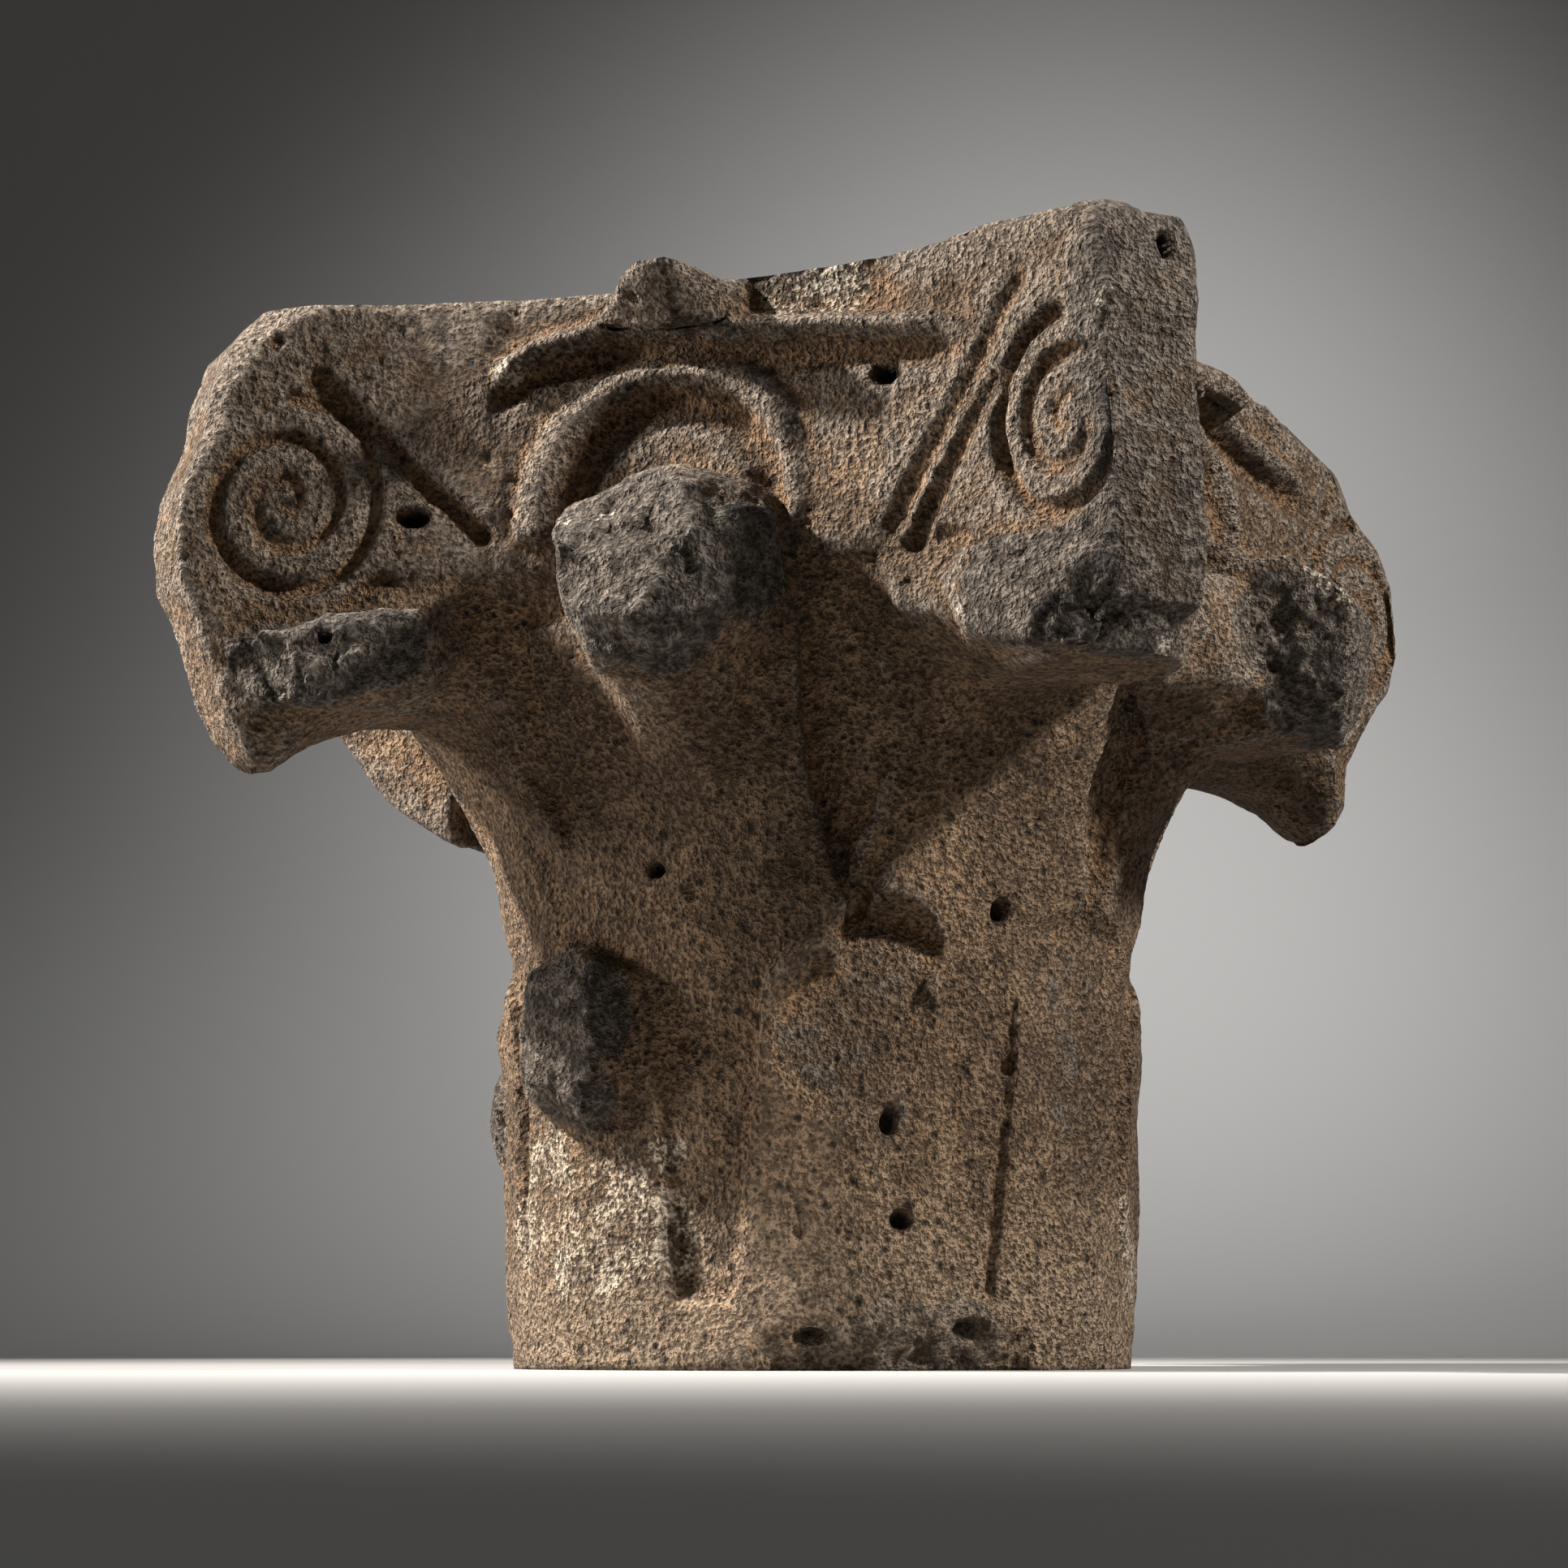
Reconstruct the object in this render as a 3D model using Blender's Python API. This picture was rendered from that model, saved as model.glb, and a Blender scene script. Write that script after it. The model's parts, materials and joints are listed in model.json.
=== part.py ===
"""Basalt capital carved from one block: a leafy bell under a four-cornered, hollow-sided abacus with volutes.

Units are metres, +Z is up. The origin is on the axis, in the lower bed. The main side faces -Y, and the
other sides follow it towards +X. A place on the bell is given by its azimuth, counted from -Y towards +X. A
place on a side is given by its distance along the side, its distance out from the axis, and its height.
"""

import math

import bmesh
import bpy
import numpy as np

# Overall sizes
HEIGHT = 0.655
FOOT_RADIUS = 0.2005
CORNER_REACH = 0.454
CORNER_END_WIDTH = 0.056
SIDE_TURN = math.radians(30)

# Bell, as (height, radius): the core shows in the hollows, and the leaves lie on it
CORE = (
    (0.0, 0.186), (0.27, 0.189), (0.33, 0.196), (0.365, 0.205), (0.395, 0.222), (0.425, 0.246),
    (0.455, 0.270), (0.520, 0.270), (0.530, 0.240),
)
CORE_INSIDE = 0.15
UPPER_LEAF_FACE = (
    (0.0, 0.190), (0.10, 0.194), (0.20, 0.198), (0.25, 0.2035), (0.30, 0.2125), (0.34, 0.222), (0.37, 0.237),
    (0.395, 0.251), (0.42, 0.264), (0.45, 0.275),
)
UPPER_LEAF_FOOT = 0.05
BELL_TOP = 0.385
LOWER_LEAF_THICKNESS = 0.0085
LOWER_LEAF_TIP = 0.264
FOOT_RING_HEIGHT = 0.042
HOLLOWS = tuple(math.radians(a) for a in (-31.0, 26.0, 76.0, 115.0, 158.5, 203.0, 248.0, 292.0))
LOWER_LEAVES = tuple(math.radians(a) for a in (-27.5, 25.5, 72.0, 113.0, 158.5, 202.5, 247.5, 291.0))
HOLLOW_DEPTHS = (0.005, 0.022, 0.016, 0.012, 0.014, 0.010, 0.014, 0.012)
HOLLOW_FOOT = 0.266
HOLLOW_HALF_ANGLE = math.radians(9.0)

# Underside of a corner: distance out along the diagonal, height and half width
CORNER_LEAF = (
    (0.190, 0.290, 0.070), (0.226, 0.350, 0.062), (0.241, 0.374, 0.060), (0.254, 0.394, 0.066),
    (0.272, 0.404, 0.085), (0.305, 0.402, 0.096), (0.335, 0.394, 0.080), (0.356, 0.384, 0.068),
    (0.376, 0.367, 0.054), (0.400, 0.364, 0.047), (0.416, 0.380, 0.044), (0.432, 0.410, 0.040),
    (0.448, 0.445, 0.038), (0.456, 0.480, 0.036),
)
CORNER_LEAF_TOP = 0.57
CORNER_KEEL = 0.040
# Ends of the corners from the near one on, each worn in its own way, as (height, how far short of the reach)
CORNER_ENDS = (
    ((0.385, 0.039), (0.400, 0.018), (0.450, 0.005), (0.500, 0.008), (0.545, 0.014), (0.580, 0.015),
     (0.600, 0.009), (0.620, 0.014), (0.640, 0.018), (0.655, 0.028), (0.667, 0.046)),
    ((0.360, 0.079), (0.375, 0.069), (0.390, 0.060), (0.420, 0.059), (0.440, 0.047), (0.477, 0.019),
     (0.500, 0.012), (0.550, 0.017), (0.579, 0.028), (0.600, 0.048), (0.630, 0.060), (0.655, 0.092)),
    ((0.350, 0.059), (0.378, 0.041), (0.430, 0.022), (0.475, 0.005), (0.505, 0.000), (0.560, 0.005),
     (0.600, 0.018), (0.635, 0.036), (0.655, 0.056)),
    ((0.360, 0.069), (0.374, 0.055), (0.393, 0.043), (0.411, 0.034), (0.430, 0.030), (0.460, 0.017),
     (0.480, 0.007), (0.515, 0.004), (0.537, 0.007), (0.572, 0.021), (0.600, 0.024), (0.630, 0.036),
     (0.650, 0.053), (0.665, 0.074)),
)
CORNER_END_TAPER = 0.9
NEAR_CHIN_BREAK = 0.398

# Leaf in the middle of a side: distance out, lower face, upper face and half width
SIDE_LEAF = (
    (0.190, 0.300, 0.530, 0.030), (0.226, 0.344, 0.530, 0.040), (0.245, 0.366, 0.528, 0.048),
    (0.268, 0.386, 0.525, 0.054), (0.296, 0.404, 0.512, 0.056), (0.320, 0.424, 0.495, 0.052),
    (0.336, 0.450, 0.475, 0.044),
)
SIDE_LEAF_KEEL = 0.040
ABACUS_FOOT = 0.484
ABACUS_FOOT_SLOPE = 1.8
ABACUS_INSIDE = 0.62
FLARE_RADIUS = 0.25
FLARE_SLOPE = 1.2

# Carving on the sides. The volutes are (side, along, height, half width, half height, wound to the left)
VOLUTES = (
    (0, -0.238, 0.528, 0.057, 0.0675, -1), (0, 0.262, 0.5325, 0.049, 0.0645, 1),
    (1, -0.255, 0.532, 0.053, 0.066, -1), (1, 0.248, 0.524, 0.053, 0.066, 1),
    (2, -0.248, 0.530, 0.053, 0.066, -1), (2, 0.248, 0.530, 0.053, 0.066, 1),
    (3, -0.248, 0.530, 0.053, 0.066, -1), (3, 0.248, 0.530, 0.053, 0.066, 1),
)
VOLUTE_TURNS = 2.5
GROOVE_HALF_WIDTH = 0.0085
GROOVE_DEPTH = 0.0095
STEM_LINES = (
    ((0.232, 0.622), (0.205, 0.578), (0.165, 0.520), (0.146, 0.488)),
    ((0.214, 0.566), (0.186, 0.520), (0.160, 0.478)),
)
LEFT_STEM_LINE = ((0.222, 0.606), (0.190, 0.574), (0.155, 0.536), (0.122, 0.506))
ARCH_HALF_WIDTH = 0.088
ARCH_FOOT = 0.512
ARCH_RISE = 0.090
ARCH_BAND = 0.0078
ARCH_HEIGHT = 0.0085
# The ledge, as (along, below the upper bed), and the cove between it and the bed
LEDGE = (
    (-0.115, 0.048), (-0.088, 0.035), (-0.050, 0.026), (-0.010, 0.026), (0.050, 0.033), (0.120, 0.040),
    (0.190, 0.052),
)
LEDGE_HALF_WIDTH = 0.0100
LEDGE_REACH = 0.012
COVE_LEFT = 0.042
COVE_RIGHT = 0.150
COVE_DEPTH = 0.010

# Mesh
FUSED_EDGE = 0.0055
SOLID_TRIANGLES = 9600
BED_SNAP = 0.002
ROUND_STEPS = 96

STONE_COLOUR = (0.23, 0.19, 0.145, 1.0)

HALF_CHORD = (CORNER_REACH - CORNER_END_WIDTH / 2) / math.sqrt(2)
SIDE_RADIUS = HALF_CHORD / math.sin(SIDE_TURN)
SIDE_MIDDLE = (CORNER_REACH + CORNER_END_WIDTH / 2) / math.sqrt(2) - SIDE_RADIUS * (1 - math.cos(SIDE_TURN))


def smooth_step(start, end, x):
    """0 before start, 1 after end, and an even slope between them."""
    t = np.clip((x - start) / (end - start), 0.0, 1.0)
    return t * t * (3 - 2 * t)


def mound(x, half):
    """A round hump, 1 at zero and 0 at half and beyond."""
    return np.clip(1 - (x / half) ** 2, 0.0, 1.0)


def read(table, x, column=1):
    """The table's column at x, which its first column holds."""
    known = np.array(table)
    return np.interp(x, known[:, 0], known[:, column])


def side_face(along):
    """Distance of the hollow side from the axis at a distance along it."""
    along = np.clip(along, -HALF_CHORD, HALF_CHORD)
    return SIDE_MIDDLE + SIDE_RADIUS - np.sqrt(SIDE_RADIUS**2 - along**2)


def corner_half_width(distance):
    """Half the width between the two sides at a distance along a corner's diagonal."""
    along = np.linspace(0, HALF_CHORD, 40)
    face = side_face(along)
    return np.interp(distance, (face + along) / math.sqrt(2), (face - along) / math.sqrt(2))


def place_on_side(side, along, out, z):
    """World coordinates of a place on a side. Side 0 faces -Y, side 1 faces +X, and half sides are corners."""
    turn = side * math.pi / 2
    return np.stack([
        along * math.cos(turn) + out * math.sin(turn),
        along * math.sin(turn) - out * math.cos(turn),
        z + 0 * along,
    ], axis=-1)


def place_on_bell(azimuth, radius, z):
    return np.stack([radius * np.sin(azimuth), -radius * np.cos(azimuth), z + 0 * azimuth], axis=-1)


def distance_to_line(points, x, y):
    """Distance from x, y to the nearest point of a polyline."""
    best = np.full(np.shape(x), np.inf)
    for (x0, y0), (x1, y1) in zip(points, points[1:]):
        length2 = (x1 - x0) ** 2 + (y1 - y0) ** 2
        t = np.clip(((x - x0) * (x1 - x0) + (y - y0) * (y1 - y0)) / length2, 0, 1)
        best = np.minimum(best, np.hypot(x - x0 - t * (x1 - x0), y - y0 - t * (y1 - y0)))
    return best


def add_block(body, cuts, place):
    """Add a closed block. Its points run from 0 to 1 in three directions, and place sets them in the world."""
    block = bmesh.new()
    bmesh.ops.create_cube(block, size=1)
    for axis, count in enumerate(cuts):
        edges = [e for e in block.edges if abs(e.verts[0].co[axis] - e.verts[1].co[axis]) > 0.5]
        bmesh.ops.subdivide_edges(block, edges=edges, cuts=count, use_grid_fill=True)
    unit = np.array([v.co for v in block.verts]) + 0.5
    for vert, co in zip(block.verts, place(unit[:, 0], unit[:, 1], unit[:, 2])):
        vert.co = co
    bmesh.ops.recalc_face_normals(block, faces=block.faces)
    mesh = bpy.data.meshes.new("block")
    block.to_mesh(mesh)
    block.free()
    body.from_mesh(mesh)
    bpy.data.meshes.remove(mesh)


def add_hull(body, points):
    """Add the closed lump with flat faces that the points span."""
    lump = bmesh.new()
    for point in points:
        lump.verts.new(point)
    result = bmesh.ops.convex_hull(lump, input=lump.verts)
    inside = [v for v in result["geom_interior"] if isinstance(v, bmesh.types.BMVert)]
    bmesh.ops.delete(lump, geom=inside, context="VERTS")
    mesh = bpy.data.meshes.new("lump")
    lump.to_mesh(mesh)
    lump.free()
    body.from_mesh(mesh)
    bpy.data.meshes.remove(mesh)


def add_core(body):
    """The round core of the bell with the foot ring, and the abacus on it."""
    ring = FOOT_RING_HEIGHT
    profile = [(0.0, 0.0), (FOOT_RADIUS, 0.0), (FOOT_RADIUS, ring - 0.003)]
    profile += [(read(CORE, ring) + 0.004, ring + 0.005)]
    profile += [(radius, z) for z, radius in CORE if z > ring + 0.01]
    profile += [(CORE[-1][1], HEIGHT), (0.0, HEIGHT)]
    core = bmesh.new()
    verts = [core.verts.new((radius, 0, z)) for radius, z in profile]
    edges = [core.edges.new(pair) for pair in zip(verts, verts[1:])]
    bmesh.ops.spin(core, geom=verts + edges, cent=(0, 0, 0), axis=(0, 0, 1), angle=2 * math.pi,
                   steps=ROUND_STEPS, use_merge=True)
    bmesh.ops.remove_doubles(core, verts=core.verts, dist=1e-6)
    bmesh.ops.recalc_face_normals(core, faces=core.faces)
    mesh = bpy.data.meshes.new("core")
    core.to_mesh(mesh)
    core.free()
    body.from_mesh(mesh)
    bpy.data.meshes.remove(mesh)

    def abacus(side):
        def place(across, depth, up):
            along = (2 * across - 1) * HALF_CHORD
            face = side_face(along)
            reach = face * (ABACUS_INSIDE + (1 - ABACUS_INSIDE) * depth)
            flare = BELL_TOP + FLARE_SLOPE * (np.hypot(along, face) * reach / face - FLARE_RADIUS)
            foot = ABACUS_FOOT - ABACUS_FOOT_SLOPE * (face - reach)
            foot = np.maximum(foot, np.minimum(flare, ABACUS_FOOT))
            return place_on_side(side, along * reach / face, reach, foot + (HEIGHT - foot) * up)
        return place

    for side in range(4):
        add_block(body, (36, 8, 3), abacus(side))

        def corner(across, depth, up):
            distance = 0.2 + (CORNER_REACH - 0.2) * depth
            width = corner_half_width(distance)
            foot = ABACUS_FOOT - 0.06 * smooth_step(0.33, 0.40, distance)
            return place_on_side(side + 0.5, (2 * across - 1) * width, distance, foot + (HEIGHT - foot) * up)
        add_block(body, (6, 24, 3), corner)


def add_corner_leaf(body, side):
    """The leaf under a corner, from the bell to the chin below the volutes."""
    def place(across, depth, up):
        step = depth * (len(CORNER_LEAF) - 1)
        stations = np.array(CORNER_LEAF)
        numbers = np.arange(len(CORNER_LEAF))
        distance, foot, half = (np.interp(step, numbers, column) for column in stations.T)
        sideways = 2 * across - 1
        foot = foot + CORNER_KEEL * np.abs(sideways) ** 2.2 * smooth_step(0.235, 0.29, distance)
        inner = 0.12 + 0.6 * (distance - CORNER_LEAF[0][0])
        distance = distance + (inner - distance) * up * smooth_step(1.0, 0.0, depth)
        half = np.minimum(half, corner_half_width(distance))
        return place_on_side(side + 0.5, sideways * half, distance, foot + (CORNER_LEAF_TOP - foot) * up)
    add_block(body, (8, 26, 6), place)


def add_side_leaf(body, side):
    """The leaf in the middle of a side, whose curled tip is broken off."""
    def place(across, depth, up):
        step = depth * (len(SIDE_LEAF) - 1)
        numbers = np.arange(len(SIDE_LEAF))
        out, low, high, half = (np.interp(step, numbers, column) for column in np.array(SIDE_LEAF).T)
        sideways = 2 * across - 1
        low = low + SIDE_LEAF_KEEL * np.abs(sideways) ** 2.2 * smooth_step(0.20, 0.26, out)
        return place_on_side(side, sideways * half, out, low + (high - low) * up)
    add_block(body, (8, 22, 6), place)


def hollow_half(z):
    """Half the angle of a hollow between the upper leaves, which opens upwards like a V."""
    return HOLLOW_HALF_ANGLE * np.clip((z - HOLLOW_FOOT) / 0.095, 0, 1) ** 0.75


def add_upper_leaf(body, number):
    start = HOLLOWS[number]
    width = (HOLLOWS[(number + 1) % len(HOLLOWS)] - start) % (2 * math.pi)

    def place(across, depth, up):
        z = UPPER_LEAF_FOOT + (UPPER_LEAF_FACE[-1][0] - UPPER_LEAF_FOOT) * up
        half = hollow_half(z)
        azimuth = start + half + (width - 2 * half) * across
        radius = CORE_INSIDE + (read(UPPER_LEAF_FACE, z) - CORE_INSIDE) * depth
        return place_on_bell(azimuth, radius, z)
    add_block(body, (10, 1, 30), place)


def add_hollow_floor(body, number):
    """Floor of the hollow between two upper leaves, as deep below their faces as the hollow's depth says."""
    def place(across, depth, up):
        z = UPPER_LEAF_FOOT + (UPPER_LEAF_FACE[-1][0] - UPPER_LEAF_FOOT) * up
        sunk = HOLLOW_DEPTHS[number] * smooth_step(HOLLOW_FOOT - 0.02, HOLLOW_FOOT + 0.02, z)
        radius = CORE_INSIDE + (read(UPPER_LEAF_FACE, z) - sunk - CORE_INSIDE) * depth
        return place_on_bell(HOLLOWS[number] + (2 * across - 1) * 1.2 * HOLLOW_HALF_ANGLE, radius, z)
    add_block(body, (6, 1, 30), place)


def lower_leaf_half(share):
    """Half the angle of a lower leaf at a share of its height: it meets its neighbours at the foot."""
    tip = np.sqrt(np.clip(1 - smooth_step(0.84, 1.0, share) ** 2, 0.02, 1))
    return (math.radians(21.5) - math.radians(7.0) * share**0.9) * tip


def add_lower_leaf(body, azimuth):
    def place(across, depth, up):
        share = 1 - (1 - up) ** 1.4
        z = 0.02 + (LOWER_LEAF_TIP - 0.02) * share
        sideways = 2 * across - 1
        rib = 0.0025 * mound(sideways, 0.35) - 0.002 * sideways**2
        face = read(UPPER_LEAF_FACE, z) + LOWER_LEAF_THICKNESS + rib
        radius = CORE_INSIDE + (face - CORE_INSIDE) * depth
        return place_on_bell(azimuth + sideways * lower_leaf_half(share), radius, z)
    add_block(body, (12, 1, 30), place)


def add_breaks(body):
    """Stumps of broken leaf tips and other lumps that stand out, all with flat broken faces."""
    main_stump = (
        (-0.050, 0.25, 0.515), (-0.048, 0.305, 0.506), (-0.050, 0.318, 0.465), (-0.046, 0.262, 0.425),
        (-0.032, 0.338, 0.442), (0.010, 0.346, 0.432), (0.036, 0.334, 0.484), (0.022, 0.308, 0.530),
        (-0.010, 0.292, 0.532), (0.066, 0.312, 0.490), (0.078, 0.285, 0.500), (0.074, 0.255, 0.430),
        (0.056, 0.324, 0.440), (0.020, 0.322, 0.416), (-0.032, 0.302, 0.406), (0.05, 0.25, 0.53),
    )
    right_stump = (
        (-0.058, 0.24, 0.49), (-0.062, 0.305, 0.500), (-0.062, 0.334, 0.504), (-0.060, 0.373, 0.470),
        (-0.058, 0.372, 0.440), (-0.056, 0.362, 0.399), (-0.052, 0.336, 0.392), (-0.048, 0.270, 0.386),
        (0.045, 0.365, 0.472), (0.050, 0.356, 0.415), (0.050, 0.27, 0.39), (0.055, 0.25, 0.510),
        (0.030, 0.320, 0.508), (0.020, 0.346, 0.392),
    )
    back_stump = (
        (-0.050, 0.25, 0.50), (-0.045, 0.335, 0.480), (-0.030, 0.345, 0.445), (0.040, 0.338, 0.440),
        (0.050, 0.330, 0.485), (0.055, 0.25, 0.51), (0.00, 0.30, 0.52), (-0.045, 0.28, 0.41),
        (0.045, 0.28, 0.41),
    )
    left_stump = (
        (-0.050, 0.25, 0.51), (-0.046, 0.345, 0.470), (-0.030, 0.352, 0.438), (0.040, 0.350, 0.438),
        (0.050, 0.335, 0.480), (0.050, 0.25, 0.50), (0.00, 0.30, 0.52), (-0.040, 0.304, 0.383),
        (0.040, 0.304, 0.383), (-0.040, 0.25, 0.35), (0.040, 0.25, 0.35),
    )
    left_corner_lump = (
        (-0.266, 0.300, 0.452), (-0.258, 0.337, 0.440), (-0.262, 0.330, 0.408), (-0.215, 0.322, 0.400),
        (-0.180, 0.306, 0.455), (-0.150, 0.298, 0.458), (-0.138, 0.262, 0.440), (-0.145, 0.290, 0.415),
        (-0.170, 0.25, 0.40), (-0.250, 0.27, 0.40),
    )
    near_corner_lump = (
        (0.172, 0.262, 0.448), (0.182, 0.296, 0.452), (0.200, 0.310, 0.466), (0.235, 0.320, 0.468),
        (0.200, 0.312, 0.418), (0.245, 0.336, 0.404), (0.300, 0.350, 0.400), (0.312, 0.354, 0.430),
        (0.295, 0.332, 0.474), (0.23, 0.27, 0.40), (0.19, 0.27, 0.415),
    )
    right_flank = (
        (-0.150, 0.270, 0.470), (-0.135, 0.255, 0.425), (-0.095, 0.262, 0.408), (-0.056, 0.285, 0.398),
        (-0.056, 0.315, 0.420), (-0.058, 0.305, 0.490), (-0.090, 0.272, 0.492), (-0.050, 0.240, 0.380),
        (-0.120, 0.240, 0.430),
    )
    lumps = (
        (0, main_stump), (0, left_corner_lump), (0, near_corner_lump), (1, right_stump), (1, right_flank),
        (2, back_stump), (3, left_stump),
    )
    for side, points in lumps:
        add_hull(body, [place_on_side(side, np.float64(u), n, z) for u, n, z in points])

    # The near corner rises a little over the bed, as (across, in from the corner's end, above the bed)
    near_corner_top = (
        (-0.083, 0.147, -0.002), (-0.066, 0.117, 0.005), (-0.025, 0.139, -0.015), (-0.050, 0.100, -0.010),
        (-0.039, 0.083, 0.007), (-0.021, 0.054, 0.012), (-0.0035, 0.036, 0.012), (0.000, 0.014, -0.004),
        (0.025, 0.069, 0.005), (0.000, 0.100, 0.009), (-0.035, 0.079, -0.015), (0.021, 0.051, -0.015),
    )
    add_hull(body, [place_on_side(0.5, np.float64(across), CORNER_REACH - back, HEIGHT + rise)
                    for across, back, rise in near_corner_top])

    # Fleurons, as (side, middle, half width, reach before the side, top below the bed)
    fleurons = (
        (0, 0.003, 0.038, 0.066, -0.005), (1, 0.020, 0.048, 0.044, 0.015), (2, 0.0, 0.038, 0.046, 0.003),
        (3, 0.0, 0.038, 0.046, 0.005),
    )
    for side, middle, half, reach, drop in fleurons:
        top = HEIGHT - drop
        points = (
            (-1.25 * half, -0.010, HEIGHT - 0.004), (-0.85 * half, reach - 0.048, top - 0.014),
            (-0.15 * half, reach - 0.010, top - 0.003), (0.35 * half, reach - 0.008, top - 0.004),
            (0.95 * half, reach - 0.045, top - 0.014), (1.1 * half, -0.010, HEIGHT - 0.006),
            (-1.60 * half, 0.000, HEIGHT - 0.024), (-0.5 * half, 0.016, HEIGHT - 0.032),
            (0.15 * half, 0.026, HEIGHT - 0.034), (0.80 * half, 0.014, HEIGHT - 0.030),
            (1.2 * half, -0.004, HEIGHT - 0.028), (0.1 * half, -0.010, top),
        )
        add_hull(body, [place_on_side(side, np.float64(middle + u), SIDE_MIDDLE + n, z)
                        for u, n, z in points])

    # The knob and its fellow are stumps of lower leaf tips, as (azimuth, radius, height)
    knob = (
        (-43.5, 0.19, 0.235), (-42.0, 0.219, 0.228), (-41.5, 0.226, 0.180), (-38.0, 0.205, 0.148),
        (-35.0, 0.235, 0.242), (-31.0, 0.243, 0.215), (-32.0, 0.240, 0.175), (-27.0, 0.222, 0.262),
        (-21.0, 0.236, 0.245), (-20.0, 0.238, 0.200), (-24.0, 0.228, 0.152), (-16.0, 0.19, 0.240),
        (-16.5, 0.195, 0.170), (-26.0, 0.19, 0.268), (-27.0, 0.19, 0.138),
    )
    far_knob = (
        (-83.0, 0.19, 0.19), (-79.0, 0.216, 0.185), (-76.0, 0.222, 0.155), (-71.0, 0.215, 0.190),
        (-64.0, 0.216, 0.165), (-66.0, 0.19, 0.20), (-70.0, 0.212, 0.128), (-62.0, 0.19, 0.14),
        (-80.0, 0.19, 0.13),
    )
    for points in (knob, far_knob):
        add_hull(body, [place_on_bell(np.radians(azimuth), radius, z) for azimuth, radius, z in points])


def volute_relief(u, z, side):
    """Spiral grooves, each wound inwards from above its eye, with a small hollow for the eye."""
    relief = np.zeros(len(u))
    for at, along, height, half_width, half_height, hand in VOLUTES:
        x = (u - along) / half_width * half_height * hand
        y = z - height
        rho = np.hypot(x, y)
        turn = (np.arctan2(-x, y) / (2 * math.pi)) % 1.0
        pitch = half_height / VOLUTE_TURNS
        nearest = np.round((half_height - rho) / pitch - turn) + turn
        nearest = np.clip(nearest, turn, VOLUTE_TURNS)
        away = rho - (half_height - pitch * nearest)
        cut = GROOVE_DEPTH * mound(away, GROOVE_HALF_WIDTH)
        relief -= np.where(side == at, cut, 0)
    return relief


def stem_relief(u, z, side):
    """Slanting stems from beside the bell up to the volutes: grooves with a ridge between them."""
    relief = np.zeros(len(u))
    for line in STEM_LINES:
        relief -= 0.009 * mound(distance_to_line(line, u, z), 0.010)
        mirrored = 0.007 * mound(distance_to_line(line, -u, z), 0.009)
        relief -= np.where(side == 0, 0, mirrored)
    relief -= np.where(side == 0, 0.007 * mound(distance_to_line(LEFT_STEM_LINE, -u, z), 0.010), 0)
    return relief


def arch_relief(u, z):
    """A raised band that arches over the leaf in the middle, with the ground sunk on both sides of it."""
    shape = np.hypot(u / ARCH_HALF_WIDTH, (z - ARCH_FOOT) / ARCH_RISE)
    away = (shape - 1) * ARCH_RISE
    present = (z > ARCH_FOOT - 0.01) * smooth_step(0.095, 0.065, u)
    band = ARCH_HEIGHT * mound(away, 2 * ARCH_BAND) - 0.007 * mound(away + 2.9 * ARCH_BAND, 2 * ARCH_BAND)
    return band * present


def ledge_relief(u, z, side):
    """The abacus ledge, the ground sunk below it, and the cove above it beside the fleuron."""
    line = HEIGHT - read(LEDGE, u)
    left = LEDGE[0][0]
    right = LEDGE[-1][0]
    present = smooth_step(left - 0.006, left + 0.014, u) * smooth_step(right + 0.01, right - 0.03, u)
    ledge = LEDGE_REACH * mound(z - line, LEDGE_HALF_WIDTH)
    ledge -= 0.006 * mound(z - line + 1.8 * LEDGE_HALF_WIDTH, LEDGE_HALF_WIDTH)
    cove = COVE_DEPTH * smooth_step(line + 0.005, line + 0.016, z)
    cove *= smooth_step(HEIGHT + 0.012, HEIGHT - 0.012, z)
    cove *= smooth_step(COVE_LEFT - 0.01, COVE_LEFT + 0.01, u)
    cove *= smooth_step(COVE_RIGHT + 0.02, COVE_RIGHT - 0.02, u)
    return ledge * present - np.where(side == 0, cove, 0.6 * cove)


def cut_flat(points, origin, normal, near=None):
    """Move what lies beyond a plane back onto it. near limits the cut to a ball, as (centre, radius)."""
    normal = np.array(normal, dtype=float)
    normal /= np.linalg.norm(normal)
    beyond = np.clip((points - np.array(origin)) @ normal, 0, None)
    if near is not None:
        centre, radius = near
        beyond = beyond * smooth_step(1.0, 0.8, np.linalg.norm(points - np.array(centre), axis=1) / radius)
    return points - beyond[:, None] * normal


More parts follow.
